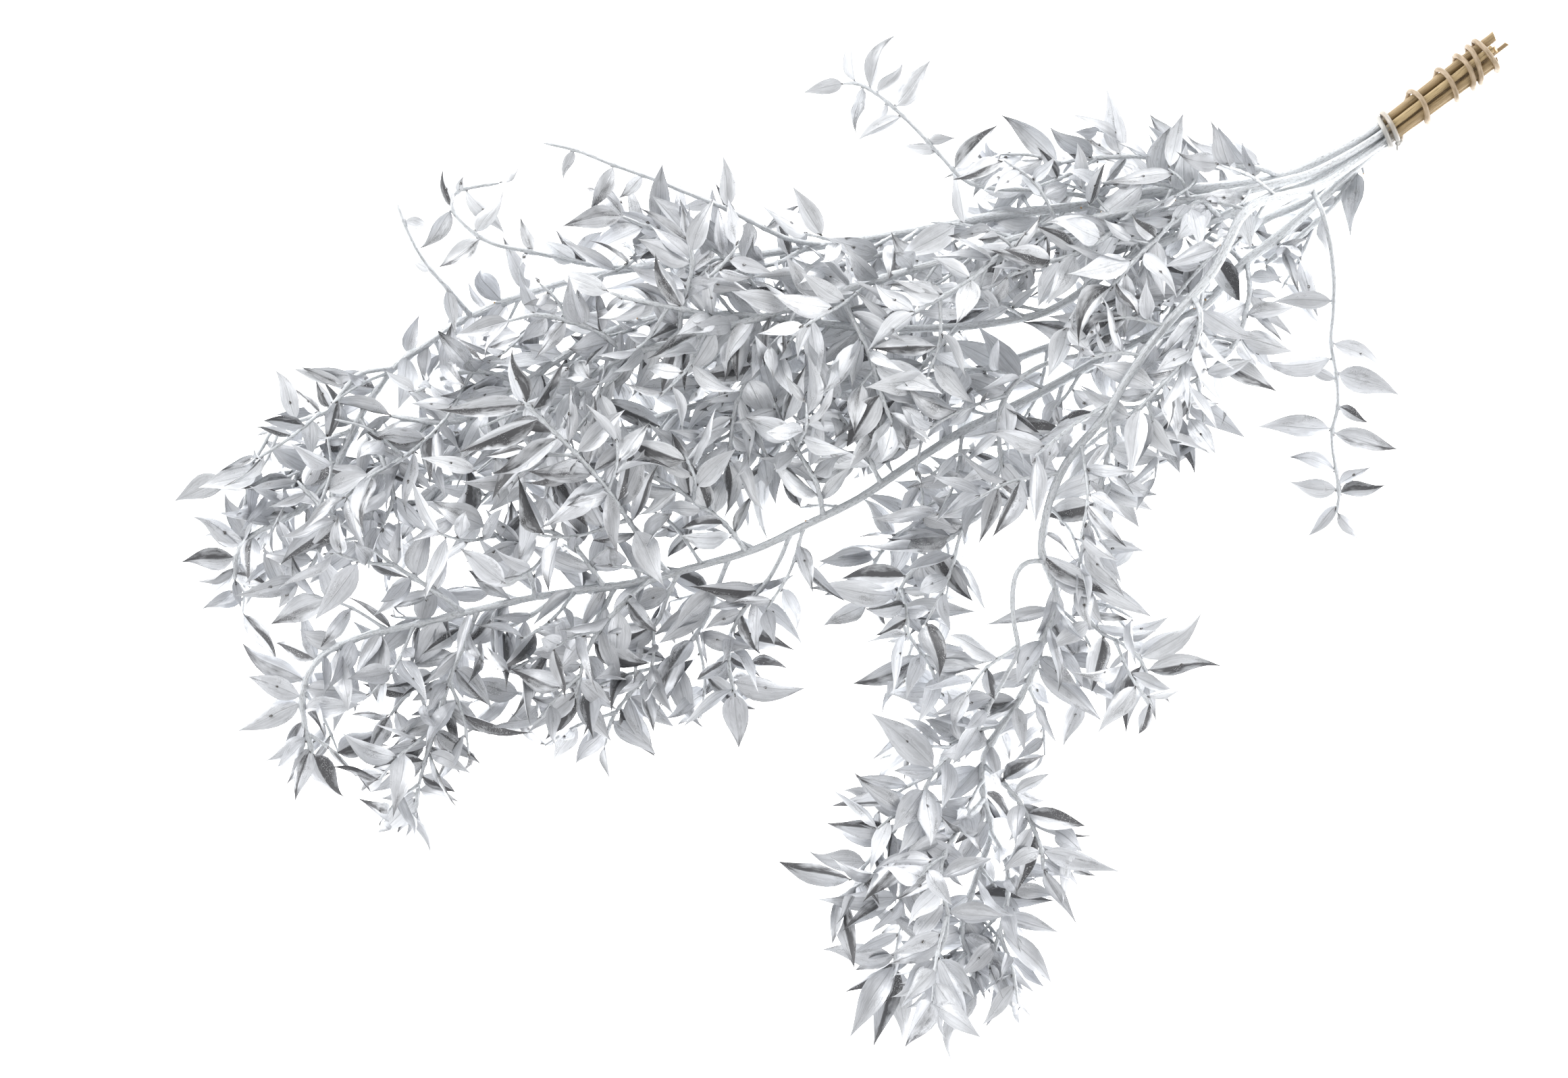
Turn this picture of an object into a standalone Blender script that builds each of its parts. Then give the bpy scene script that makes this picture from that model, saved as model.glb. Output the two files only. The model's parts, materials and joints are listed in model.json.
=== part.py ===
"""A tied bunch of dried ruscus, painted silver, lying on a surface.

Seven woody stems are packed side by side and wound with an elastic band near their bare cut ends.
Beyond the band each stem arches away on its own route, and carries thin side twigs set with pointed,
keeled leaf blades. Metres, +Z up. The surface is z = 0, and the origin is under the middle of the bunch.

The routes are in millimetres. They are few points, chosen by hand, that a smooth curve runs through.
The leaf blades stand where hand-chosen roots and tips put them, and then by a rule along every twig.
"""

import math
import random

import bmesh
import bpy
import numpy as np
from mathutils import Matrix, Vector
from mathutils.bvhtree import BVHTree

MM = 0.001

# Bundle of cut ends: a straight run, from the ends, where it is wider, to where the stems part
STEM_GAP = 0.35
BUNDLE_START = (341, 261.7)
BUNDLE_END = (281, 216.3)
BUNDLE_FAN = 1.25
RING_START_DEG = 10.0

# Elastic band: laps round the bundle, whole ones at its upper left edge, and how far each is from where
# the stems part
BAND_RADIUS = 1.1
BAND_GAP = 0.7
BAND_LIFT = 0.15
BAND_LAPS = (0.9, 1, 1.25, 1.5, 2, 2.25, 2.5, 3, 3.25, 3.5, 4, 4.25, 4.5, 5, 5.25, 5.5, 6, 6.25, 6.5, 7, 7.25,
             7.6)
BAND_PLACES = (6, 6.4, 4.2, 0.8, 10.1, 9, 5.2, 28.4, 30.6, 22.5, 47.3, 48.1, 43, 58.6, 60.4, 53.5, 67, 65,
               58.5, 71, 72.2, 71)
BAND_STEP_DEG = 30.0
BAND_SIDES = 6
KNOT_LAP = 2.42
KNOT_RADIUS = 2.0
KNOT_RISE = 0.8

# Stems and twigs. A route that comes too close to another is eased up or down until it is clear.
STEM_SIDES = 7
TWIG_SIDES = 4
TWIG_RADIUS = 1.15
TWIG_TIP_RADIUS = 0.75
TAPER_POWER = 0.8
ROUTE_STEP = 4.0
STEM_TOLERANCE = 1.5
TWIG_TOLERANCE = 1.2
ROUTE_CLEARANCE = 1.2
ROUTE_LIFTS = (0, 4, -4, 8, -8, 12, -12, 16, -16, 20, -20, 25, 30, 35)
EASE_LENGTH = 26.0
HELD_PAST_BUNDLE = 20.0
SPREAD_LENGTH = 12.0
TWIG_ROOT_LENGTH = 9.0

# Leaf blades: shares of the blade's length and width, and the ridge's height over the flat face
LEAF_LENGTH = (30.0, 41.0)
LEAF_WIDTH_SHARE = (0.30, 0.40)
LEAF_WIDTH_LIMIT = 13.5
LEAF_ROOT_SINK = 0.4
LEAF_THICKEST = (0.14, 1.1)
LEAF_WIDEST = 0.32
LEAF_NARROWING = (0.66, 0.6)
LEAF_ARCH = (-0.035, 0.045)
LEAF_TWIST = 0.6
LEAF_SWEEP_DEG = (38, 62)
LEAF_SPACING = 17.6
LEAF_FIRST = 12.0
LEAF_LAST = 0.6
LEAF_CLEARANCE = 0.4
LEAF_TRIES = 7
LEAF_RISES = (0, 5, -5, 10, -10, 16, -16, 22, -22, 28, -28)
LEAF_FLATNESS = 0.45

# How the rule sets blades along a twig: each one's turn round it in radians, its sweep towards the tip, and
# how it turns on and shrinks at each try
TURN_WANDER = 0.75
TURN_STEP = 0.62
END_SWEEP = 0.12
SWEEP_LOSS_DEG = 14
SHRINK_STEP = 0.04
TAKEN_SHARE = 0.45

SILVER = (0.62, 0.63, 0.65, 1.0)
BAND_BEIGE = (0.42, 0.36, 0.28, 1.0)

STEMS = {}
BRANCHES = []


def stem(name, butt_radius, tip_radius, cut, route, leaves=(), bare=0.5, spacing=LEAF_SPACING):
    """A main stem: its radii, how far its cut end stands past the bundle's axis, and its free route."""
    STEMS[name] = {"name": name, "stem": name, "parent": None, "radii": (butt_radius, tip_radius), "cut": cut,
                   "route": route, "leaves": leaves, "bare": bare, "spacing": spacing}


def branch(name, parent, route, leaves=(), bare=0.12, spacing=LEAF_SPACING):
    """A side twig, which starts at the point of its parent nearest to the first point of its route."""
    BRANCHES.append({"name": name, "parent": parent, "radii": (TWIG_RADIUS, TWIG_TIP_RADIUS),
                     "route": route, "leaves": leaves, "bare": bare, "spacing": spacing})


# Main stems. The first is the middle of the bundle and the others stand round it, in this order.
stem("stem_middle", 2.0, 1.1, 2, [
    (246, 193, 24), (222, 184, 36), (195, 173, 45), (168, 161, 51), (145, 150, 55), (112, 127, 57),
    (90, 120, 57), (60, 116, 57), (20, 115, 58), (-15, 118, 60), (-45, 121, 62), (-80, 122, 62),
    (-112, 117, 60), (-140, 104, 58), (-168, 86, 55), (-195, 69, 50), (-215, 67, 46), (-235, 70, 42)],
    bare=0.6)
stem("stem_upper_arc", 2.6, 1.1, 5.5, [
    (247, 203, 24), (225, 194, 35), (195, 189, 46), (160, 186, 53), (125, 179, 58), (90, 175, 60),
    (60, 170, 60), (20, 163, 58), (-20, 157, 55), (-65, 151, 52), (-105, 147, 50), (-135, 142, 48),
    (-160, 135, 46), (-182, 127, 44), (-202, 118, 42), (-218, 107, 40), (-232, 98, 38), (-243, 84, 36),
    (-252, 70, 34), (-260, 54, 32), (-268, 38, 30), (-279, 25, 28), (-293, 16, 26), (-307, 9, 23),
    (-317, -1, 20), (-319, -15, 17)],
    [(-318, -3, -348, -6), (-318, 3, -340, 22), (-319, -14, -336, -28, 0), (-317, 5, -306, 42),
     (-317, -8, -306, -24), (-319, -15, -316, -31), (-317, -12, -299, -19), (-227, 101, -223, 124),
     (-311, 7, -325, 30), (-293, 16, -288, -15), (-200, 119, -206, 136), (-186, 124, -196, 140)],
    bare=0.72)
stem("stem_high", 2.1, 1.1, 0, [
    (247, 198, 34), (225, 191, 48), (195, 184, 61), (160, 178, 73), (125, 170, 81), (90, 161, 87),
    (62, 152, 89), (30, 143, 90), (0, 134, 90), (-30, 124, 89), (-60, 115, 87), (-85, 108, 84),
    (-112, 101, 80), (-130, 90, 76), (-146, 76, 71), (-158, 58, 66), (-166, 42, 62)], bare=0.62)
stem("stem_drooping", 2.2, 1.1, -3, [
    (250, 191, 37), (233, 185, 55), (215, 180, 70), (204, 171, 82), (197, 157, 90), (189, 143, 96),
    (178, 130, 100), (166, 117, 102), (154, 102, 102), (144, 87, 100), (136, 73, 97), (127, 61, 94),
    (118, 51, 89), (111, 39, 84), (106, 26, 79), (103, 12, 74), (102, 0, 69), (106, -11, 64), (110, -21, 59),
    (108, -34, 54), (103, -48, 49), (98, -64, 44), (90, -80, 39), (80, -95, 34), (73, -110, 30),
    (73, -128, 27), (77, -146, 24), (72, -164, 21), (66, -182, 19), (62, -200, 17), (67, -216, 15),
    (68, -226, 14)],
    [(68, -226, 51, -270, 0), (68, -180, 112, -184), (98, -68, 70, -67), (92, -78, 60, -82),
     (73, -112, 95, -118), (100, -60, 136, -88), (78, -98, 103, -83), (76, -100, 80, -124)],
    bare=0.62)
stem("stem_long_lower", 2.3, 1.1, -1, [
    (248, 182, 19), (226, 163, 27), (208, 149, 35), (188, 128, 42), (165, 114, 46), (135, 100, 50),
    (100, 81, 54), (80, 71, 55), (60, 61, 56), (35, 45, 56), (8, 27, 55), (-20, 13, 53), (-45, 1, 51),
    (-75, -8, 48), (-110, -17, 45), (-140, -21, 42), (-170, -26, 40), (-200, -33, 37), (-225, -39, 34),
    (-248, -44, 31), (-266, -51, 28), (-277, -60, 25), (-283, -75, 22), (-282, -92, 19), (-278, -106, 17)],
    [(-282, -66, -317, -52), (-284, -80, -318, -95), (-282, -98, -304, -111), (-279, -104, -292, -124),
     (-277, -106, -266, -133, 0), (-280, -97, -253, -102), (-283, -70, -246, -75), (-283, -84, -252, -79),
     (-283, -76, -312, -65), (-266, -51, -245, -55), (-240, -43, -245, -84), (-274, -57, -284, -28),
     (-222, -39, -214, -12), (-262, -50, -258, -84)],
    bare=0.7)
stem("stem_short", 1.2, 1.0, 9, [
    (261, 186, 9), (251, 175, 12), (241, 166, 16), (230, 157, 19), (221, 150, 19)],
    [(236, 165, 240, 150), (230, 159, 214, 168), (221, 150, 230, 138), (226, 155, 243, 166)], bare=0.6)
stem("stem_low", 1.9, 1.1, -5, [
    (249, 187, 13), (222, 174, 20), (198, 160, 26), (170, 143, 29), (145, 126, 30), (120, 112, 30),
    (95, 102, 30), (60, 91, 30), (25, 84, 30), (-10, 81, 31), (-45, 80, 32), (-75, 76, 32), (-105, 66, 32),
    (-132, 52, 32), (-158, 40, 30), (-182, 36, 28), (-205, 38, 26), (-217, 27, 24), (-226, 12, 22)],
    bare=0.6)

# Sprays that stand clear of the mass, from the right round to the left
branch("twig_hanging_right", "stem_drooping", [
    (243, 190, 40), (249, 174, 52), (253, 158, 50), (255, 142, 46), (255, 125, 42), (254, 108, 38),
    (257, 92, 34), (258, 76, 31), (255, 60, 28), (257, 44, 26), (259, 30, 25), (258, 20, 24)],
    [(254, 129, 222, 131), (254, 101, 217, 97), (256, 109, 285, 92), (257, 94, 291, 82), (256, 88, 238, 100),
     (258, 75, 275, 66), (254, 64, 214, 66), (256, 61, 289, 51), (258, 43, 232, 50), (258, 31, 232, 33),
     (259, 33, 276, 45), (260, 30, 284, 34), (257, 24, 243, 7), (259, 20, 272, 4), (259, 24, 285, 14)],
    bare=0.9, spacing=30)
branch("twig_top_arc", "stem_upper_arc", [
    (228, 194, 36), (214, 199, 52), (195, 200, 58), (172, 201, 62), (150, 204, 64), (130, 203, 63),
    (113, 201, 61), (102, 195, 59), (94, 188, 58)],
    [(112, 201, 83, 229), (142, 204, 136, 241), (177, 202, 157, 226), (201, 201, 176, 210),
     (215, 199, 201, 214), (124, 202, 112, 209)], bare=0.2, spacing=20)
branch("twig_top_spray", "stem_upper_arc", [
    (140, 182, 56), (120, 184, 68), (98, 186, 74), (76, 187, 78), (62, 191, 80), (50, 203, 81), (40, 214, 81),
    (28, 226, 80), (16, 236, 78), (7, 241, 76), (0, 241, 75)],
    [(6, 242, 3, 269), (14, 239, 22, 268), (17, 236, 33, 251), (28, 229, 45, 254), (9, 240, 3, 215),
     (22, 231, 11, 216), (30, 225, 5, 211), (0, 241, -22, 237), (42, 211, 58, 213), (47, 205, 29, 209),
     (57, 196, 79, 221), (65, 189, 83, 203)], bare=0.95, spacing=30)
branch("twig_upper_left", "stem_upper_arc", [
    (-12, 158, 56), (-28, 161, 64), (-42, 167, 70), (-60, 176, 76), (-80, 184, 80), (-100, 192, 82),
    (-120, 199, 84), (-138, 206, 84), (-155, 210, 84)],
    [(-60, 177, -62, 206), (-118, 199, -131, 174), (-103, 193, -116, 181), (-139, 206, -147, 191),
     (-69, 180, -86, 176), (-50, 171, -52, 146), (-42, 167, -22, 180)], bare=0.95, spacing=40)
branch("twig_left_fork", "stem_upper_arc", [
    (-108, 147, 50), (-130, 148, 60), (-150, 152, 66), (-165, 155, 70), (-180, 158, 72), (-190, 163, 72),
    (-198, 170, 72), (-203, 177, 70), (-201, 185, 68), (-192, 188, 66), (-179, 190, 64)],
    [(-161, 154, -168, 173), (-187, 161, -209, 145), (-191, 164, -174, 186), (-203, 176, -219, 154),
     (-204, 177, -209, 198), (-201, 185, -197, 194), (-179, 190, -167, 198), (-197, 187, -176, 163),
     (-163, 155, -168, 147), (-133, 148, -151, 166), (-138, 149, -159, 162)], bare=0.95, spacing=40)
branch("twig_left_bare", "stem_upper_arc", [
    (-194, 123, 42), (-204, 134, 52), (-214, 145, 56), (-221, 155, 58), (-227, 167, 58), (-232, 180, 56)],
    [(-229, 171, -213, 167), (-214, 145, -226, 152), (-206, 136, -202, 112)], bare=0.95, spacing=40)
branch("twig_left_high", "stem_upper_arc", [
    (-235, 95, 38), (-243, 94, 44), (-253, 91, 47), (-261, 82, 47), (-268, 73, 45), (-282, 68, 42),
    (-297, 63, 39), (-302, 56, 37), (-307, 48, 35), (-316, 41, 33), (-322, 38, 32)],
    [(-253, 91, -287, 93), (-285, 67, -293, 95), (-268, 74, -275, 90), (-301, 58, -282, 52)],
    bare=0.25, spacing=17)

# Lower left, off the long lower stem
branch("twig_lower_left_1", "stem_long_lower", [
    (-191, -31, 38), (-196, -44, 35), (-203, -60, 30), (-209, -78, 25), (-214, -94, 21), (-219, -110, 17),
    (-223, -125, 14), (-224, -137, 12)],
    [(-224, -133, -235, -149, 0), (-223, -137, -220, -150), (-224, -128, -244, -130),
     (-223, -125, -200, -132), (-220, -118, -203, -127), (-220, -111, -249, -114), (-218, -106, -194, -117),
     (-214, -94, -188, -112), (-212, -88, -238, -99), (-209, -80, -184, -96), (-203, -60, -180, -82),
     (-206, -67, -226, -78)],
    bare=0.2, spacing=16)
branch("twig_lower_left_2", "stem_long_lower", [
    (-148, -23, 42), (-165, -35, 34), (-183, -43, 29), (-198, -51, 26), (-212, -62, 24), (-226, -73, 22),
    (-237, -86, 21)],
    [(-237, -86, -252, -110), (-165, -35, -172, -60), (-178, -41, -177, -74), (-228, -75, -238, -60)],
    bare=0.3)
branch("twig_lower_left_3", "stem_long_lower", [
    (-118, -19, 44), (-126, -32, 38), (-136, -46, 33), (-147, -60, 29), (-157, -74, 26), (-162, -88, 24)],
    [(-160, -80, -180, -97), (-162, -88, -167, -104), (-158, -76, -148, -94), (-150, -64, -180, -62)],
     bare=0.2)
branch("twig_lower_left_4", "stem_long_lower", [
    (-100, -15, 46), (-114, -27, 52), (-126, -40, 54), (-134, -54, 52), (-138, -70, 48), (-140, -80, 45)],
    [(-138, -72, -155, -99), (-130, -46, -103, -63), (-139, -78, -120, -100), (-137, -66, -117, -84),
     (-134, -55, -166, -50)], bare=0.3)
branch("twig_lower_left_5", "stem_long_lower", [
    (-60, -4, 50), (-66, -20, 42), (-72, -36, 36), (-82, -50, 32), (-96, -60, 29), (-110, -73, 27),
    (-121, -88, 25), (-125, -102, 24)],
    [(-121, -89, -97, -107), (-112, -76, -88, -92), (-90, -56, -77, -96), (-125, -102, -123, -120),
     (-100, -64, -76, -58), (-68, -28, -98, -47), (-76, -42, -45, -52)], bare=0.25)
branch("twig_lower_left_6", "stem_long_lower", [
    (-27, 9, 53), (-33, -4, 48), (-40, -16, 44), (-50, -28, 40), (-58, -42, 36), (-60, -58, 32),
    (-57, -74, 29)],
    [(-47, -25, -20, -50), (-57, -44, -24, -52), (-58, -68, -20, -74), (-57, -73, -55, -104),
     (-56, -74, -33, -108), (-42, -19, -24, -13), (-44, -21, -82, -19), (-60, -55, -41, -66),
     (-52, -31, -74, -40)], bare=0.45)
branch("twig_inner_left", "stem_long_lower", [
    (-197, -32, 38), (-210, -23, 48), (-222, -15, 52), (-236, -6, 54), (-248, 4, 54), (-262, 15, 52),
    (-275, 26, 50), (-284, 36, 48)],
    [(-222, -14, -214, 18), (-224, -13, -245, -36), (-212, -21, -205, -4), (-250, 5, -278, -17),
     (-262, 15, -292, 5), (-280, 30, -299, 22)], bare=0.2)

# A spray that rises over the mass, nearest to the eye
branch("twig_foreground", "stem_long_lower", [
    (-92, -12, 47), (-102, 2, 66), (-113, 18, 84), (-124, 34, 98), (-138, 50, 108), (-151, 63, 114),
    (-164, 76, 118)],
    [(-162, 74, -210, 71), (-156, 68, -199, 50), (-163, 75, -174, 103), (-138, 50, -112, 72),
     (-146, 58, -178, 35), (-124, 34, -113, 52), (-122, 31, -117, -2), (-108, 12, -92, -20),
     (-130, 41, -104, 58), (-136, 48, -164, 33), (-160, 72, -143, 98), (-126, 37, -158, 12)],
    bare=0.3, spacing=15)

# Lower right, off the drooping stem
branch("twig_lower_right_1", "stem_drooping", [
    (103, -7, 66), (95, -6, 73), (89, -12, 74), (87, -24, 71), (88, -38, 66), (90, -52, 61), (84, -65, 56),
    (77, -78, 52), (68, -94, 49), (57, -105, 46), (47, -115, 44), (41, -127, 42), (34, -138, 40),
    (22, -150, 37), (13, -162, 34), (5, -172, 31)],
    [(47, -114, 15, -82), (32, -141, 5, -115), (26, -147, -10, -141), (13, -162, -20, -161),
     (5, -172, -35, -164), (8, -170, 22, -185), (38, -131, -8, -132), (20, -152, 40, -160),
     (70, -92, 46, -87), (62, -100, 56, -72)], bare=0.5, spacing=15)
branch("twig_lower_right_2", "twig_lower_right_1", [
    (41, -127, 42), (40, -142, 47), (34, -158, 43), (30, -175, 37), (31, -192, 31), (28, -206, 25),
    (27, -218, 20)],
    [(28, -212, -13, -207), (27, -214, 0, -232), (28, -217, 17, -261), (27, -218, 33, -259, 0),
     (27, -216, 6, -258), (30, -180, -16, -181), (31, -195, 12, -186), (31, -192, 52, -210),
     (38, -148, 58, -172), (30, -200, 2, -211)], bare=0.15)
branch("twig_lower_right_3", "stem_drooping", [
    (73, -112, 30), (82, -120, 38), (91, -130, 42), (98, -143, 43), (103, -156, 41), (104, -166, 38)],
    [(93, -131, 127, -155), (103, -156, 146, -166), (104, -166, 121, -198), (100, -148, 90, -178),
     (103, -160, 124, -175), (88, -126, 108, -116), (96, -138, 86, -152)], bare=0.2)
branch("twig_lower_right_4", "stem_drooping", [
    (77, -146, 24), (84, -160, 31), (86, -175, 32), (84, -190, 29), (80, -205, 25), (76, -218, 21)],
    [(84, -190, 113, -200), (82, -200, 111, -224), (79, -208, 96, -230), (76, -218, 90, -241),
     (77, -214, 99, -246), (86, -176, 111, -180), (80, -205, 60, -222)], bare=0.2)
branch("twig_lower_right_5", "stem_drooping", [
    (74, -130, 27), (62, -142, 42), (53, -156, 50), (50, -172, 52), (54, -188, 49), (52, -204, 44),
    (46, -216, 38)],
    [(52, -158, 30, -178), (50, -170, 78, -160), (54, -188, 84, -192), (53, -200, 22, -190),
     (46, -216, 50, -246), (48, -212, 70, -234), (48, -213, 28, -236)], bare=0.15)
branch("twig_right_spray", "stem_drooping", [
    (136, 72, 97), (137, 58, 92), (134, 42, 86), (130, 25, 80), (125, 8, 74), (122, -8, 67), (123, -22, 60),
    (126, -34, 54), (134, -43, 50), (144, -48, 47), (153, -55, 43), (158, -64, 39)],
    [(154, -55, 190, -38), (158, -61, 198, -57), (158, -64, 171, -80), (158, -64, 162, -103),
     (156, -62, 134, -90), (155, -58, 143, -95), (122, -10, 160, -35), (125, 2, 156, 0),
     (131, 33, 137, 6), (134, 42, 160, 25), (132, 34, 160, 20), (123, -20, 134, -40), (128, -37, 105, -52),
     (136, 52, 167, 46)], bare=0.2, spacing=19)
branch("twig_right_edge", "stem_long_lower", [
    (210, 150, 35), (211, 136, 48), (208, 122, 58), (204, 110, 64), (194, 97, 68), (178, 86, 70),
    (160, 78, 70), (143, 67, 68), (126, 54, 64), (111, 41, 60)],
    [(195, 97, 225, 81), (174, 83, 207, 57), (162, 79, 185, 41), (158, 77, 175, 40), (142, 66, 168, 55),
     (205, 112, 233, 103), (208, 122, 234, 126), (206, 115, 224, 90), (211, 134, 226, 132),
     (186, 91, 212, 98)], bare=0.1)
branch("twig_arc_down", "stem_long_lower", [
    (148, 106, 48), (130, 102, 62), (112, 99, 68), (97, 93, 72), (87, 85, 73), (81, 73, 73), (80, 58, 71),
    (81, 45, 67), (77, 32, 63), (72, 20, 59), (62, 12, 55), (50, 2, 51), (38, -8, 47), (30, -19, 43),
    (28, -32, 39), (35, -46, 35), (45, -60, 31), (50, -74, 28)],
    [(29, -24, -20, -18), (28, -32, 70, -31), (41, -55, 4, -70), (41, -54, 83, -59), (48, -2, 66, -28),
     (42, -5, 57, -20), (50, -74, 20, -74), (50, -72, 62, -48), (50, -74, 46, -92), (80, 62, 116, 62),
     (72, 22, 45, 45), (35, -46, 22, -48), (64, 14, 40, 18), (30, -20, 50, -20)], bare=0.3)
branch("twig_under_arc", "stem_long_lower", [
    (114, 89, 53), (110, 74, 44), (104, 60, 39), (94, 50, 35), (82, 42, 33), (70, 34, 31), (56, 25, 29),
    (42, 16, 27), (28, 8, 25), (17, -5, 23), (13, -18, 22), (13, -28, 21)],
    [(18, -5, -14, -5), (13, -27, -12, -38), (56, 25, 24, 36), (94, 50, 118, 66), (28, 8, 12, 30),
     (70, 34, 95, 22)], bare=0.25)
branch("twig_beside_droop", "stem_drooping", [
    (178, 130, 100), (182, 122, 108), (181, 110, 110), (176, 99, 108), (167, 89, 104), (157, 79, 99),
    (147, 68, 94)],
    [(160, 82, 126, 96), (147, 68, 120, 84), (150, 72, 168, 46)], bare=0.35, spacing=15)

# The mass between the bundle and the middle
branch("twig_near_tie_1", "stem_middle",
       [(196, 174, 45), (184, 182, 58), (168, 189, 64), (150, 191, 67), (134, 190, 68)])
branch("twig_near_tie_2", "stem_high",
       [(185, 182, 64), (172, 172, 82), (160, 160, 92), (148, 148, 97), (138, 136, 99)])
branch("twig_near_tie_3", "stem_low",
       [(198, 160, 26), (191, 149, 36), (181, 139, 38), (171, 126, 37), (168, 112, 37)])
branch("twig_near_tie_4", "stem_middle", [(160, 157, 53), (152, 142, 64), (147, 128, 68), (141, 114, 68)])
branch("twig_near_tie_5", "stem_high",
       [(150, 176, 75), (135, 162, 92), (118, 152, 97), (100, 147, 98), (84, 141, 96)])
branch("twig_near_tie_6", "stem_upper_arc",
       [(185, 188, 48), (170, 194, 42), (154, 194, 35), (136, 189, 30), (118, 190, 28)])
branch("twig_near_tie_7", "stem_low", [(170, 143, 29), (160, 128, 20), (148, 117, 15), (136, 113, 15)])
branch("twig_near_tie_8", "stem_long_lower",
       [(208, 149, 35), (200, 158, 30), (186, 165, 26), (170, 168, 23), (152, 166, 21)])
branch("twig_near_tie_9", "stem_upper_arc",
       [(150, 184, 55), (135, 172, 42), (120, 162, 34), (104, 156, 30), (88, 150, 27)])
branch("twig_middle_1", "stem_upper_arc",
       [(110, 177, 59), (95, 168, 48), (80, 160, 42), (62, 150, 37), (46, 140, 33)])
branch("twig_middle_2", "stem_middle",
       [(90, 120, 57), (75, 129, 48), (60, 135, 44), (42, 137, 42), (25, 133, 40)])
branch("twig_middle_3", "stem_middle",
       [(60, 116, 57), (48, 104, 66), (38, 92, 70), (28, 80, 72), (20, 66, 73)])
branch("twig_middle_4", "stem_high",
       [(95, 163, 86), (80, 152, 100), (66, 140, 107), (50, 130, 109), (36, 122, 108)])
branch("twig_middle_5", "stem_low", [(60, 91, 30), (48, 78, 38), (36, 66, 42), (22, 56, 43), (8, 48, 43)])
branch("twig_middle_6", "stem_upper_arc",
       [(40, 167, 59), (28, 158, 70), (14, 151, 76), (0, 148, 78), (-16, 144, 77)])
branch("twig_middle_7", "stem_low", [(25, 84, 30), (12, 95, 22), (-2, 101, 19), (-18, 104, 19)])
branch("twig_middle_8", "stem_low", [(95, 102, 30), (84, 92, 22), (70, 82, 18), (56, 76, 16)])
branch("twig_middle_9", "stem_high",
       [(-2, 133, 90), (4, 119, 96), (10, 107, 98), (15, 94, 98), (19, 80, 96), (24, 66, 93)])

# The mass from the middle to the left
branch("twig_centre_1", "stem_upper_arc",
       [(-40, 154, 54), (-52, 144, 44), (-66, 138, 38), (-82, 134, 34), (-98, 128, 32)])
branch("twig_centre_2", "stem_middle",
       [(-20, 118, 60), (-32, 106, 52), (-44, 95, 47), (-58, 88, 44), (-74, 86, 42)])
branch("twig_centre_3", "stem_low",
       [(-10, 81, 31), (-22, 68, 38), (-34, 54, 42), (-46, 42, 43), (-58, 32, 43), (-70, 26, 42)])
branch("twig_centre_4", "stem_high",
       [(-60, 115, 87), (-74, 122, 100), (-90, 125, 106), (-106, 128, 108), (-120, 132, 107)])
branch("twig_centre_5", "stem_high",
       [(-38, 121, 89), (-42, 107, 82), (-48, 93, 76), (-55, 78, 72), (-58, 62, 68), (-60, 46, 65)])
branch("twig_centre_6", "stem_long_lower",
       [(-10, 18, 54), (-14, 34, 66), (-22, 48, 76), (-30, 62, 83), (-36, 76, 88)])
branch("twig_centre_7", "stem_long_lower", [(20, 35, 56), (10, 52, 68), (0, 66, 78), (-8, 80, 86)])
branch("twig_centre_8", "stem_low", [(-45, 80, 32), (-58, 68, 25), (-72, 58, 21), (-88, 50, 19)])
branch("twig_centre_9", "stem_long_lower",
       [(-50, 0, 51), (-62, 14, 58), (-76, 24, 64), (-90, 34, 68), (-106, 40, 70)])
branch("twig_upper_1", "stem_upper_arc",
       [(-60, 151, 52), (-74, 159, 64), (-88, 163, 71), (-102, 167, 76), (-114, 172, 79)],
       [(-90, 163, -101, 192), (-102, 167, -131, 172), (-114, 172, -146, 168), (-84, 162, -112, 150)])
branch("twig_upper_2", "stem_high",
       [(-85, 108, 84), (-84, 122, 98), (-80, 136, 106), (-78, 148, 110), (-80, 158, 112)],
       [(-78, 146, -106, 160), (-79, 152, -64, 182), (-80, 158, -84, 176), (-80, 134, -112, 146)])
branch("twig_upper_3", "stem_upper_arc",
       [(-20, 157, 55), (-34, 149, 64), (-48, 147, 72), (-60, 150, 78), (-70, 157, 82)],
       [(-28, 150, -36, 173), (-22, 154, -26, 180), (-62, 151, -66, 178)])
branch("twig_left_1", "stem_high",
       [(-112, 101, 80), (-126, 112, 92), (-142, 118, 97), (-158, 121, 99), (-172, 118, 99)],
       [(-158, 121, -168, 145), (-142, 118, -160, 98), (-172, 118, -200, 110)])
branch("twig_left_2", "stem_middle",
       [(-112, 117, 60), (-124, 104, 50), (-138, 92, 45), (-154, 84, 42), (-170, 76, 40)])
branch("twig_left_3", "stem_high",
       [(-130, 90, 76), (-140, 74, 86), (-147, 58, 88), (-150, 42, 86), (-154, 28, 84)])
branch("twig_left_4", "stem_low",
       [(-105, 66, 32), (-116, 50, 24), (-128, 36, 20), (-142, 24, 18), (-156, 16, 18)])
branch("twig_left_5", "stem_long_lower",
       [(-125, -19, 43), (-134, -5, 52), (-144, 6, 58), (-156, 10, 61), (-168, 4, 61)],
       [(-168, 4, -197, -6), (-160, 9, -176, -18), (-150, 9, -162, 32)])
branch("twig_left_6", "stem_middle",
       [(-168, 86, 55), (-184, 92, 64), (-198, 92, 67), (-210, 88, 67), (-222, 82, 65)],
       [(-205, 90, -202, 118), (-222, 82, -238, 92)])
branch("twig_left_7", "stem_low", [(-158, 40, 30), (-172, 50, 38), (-186, 58, 41), (-200, 62, 41)])
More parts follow.
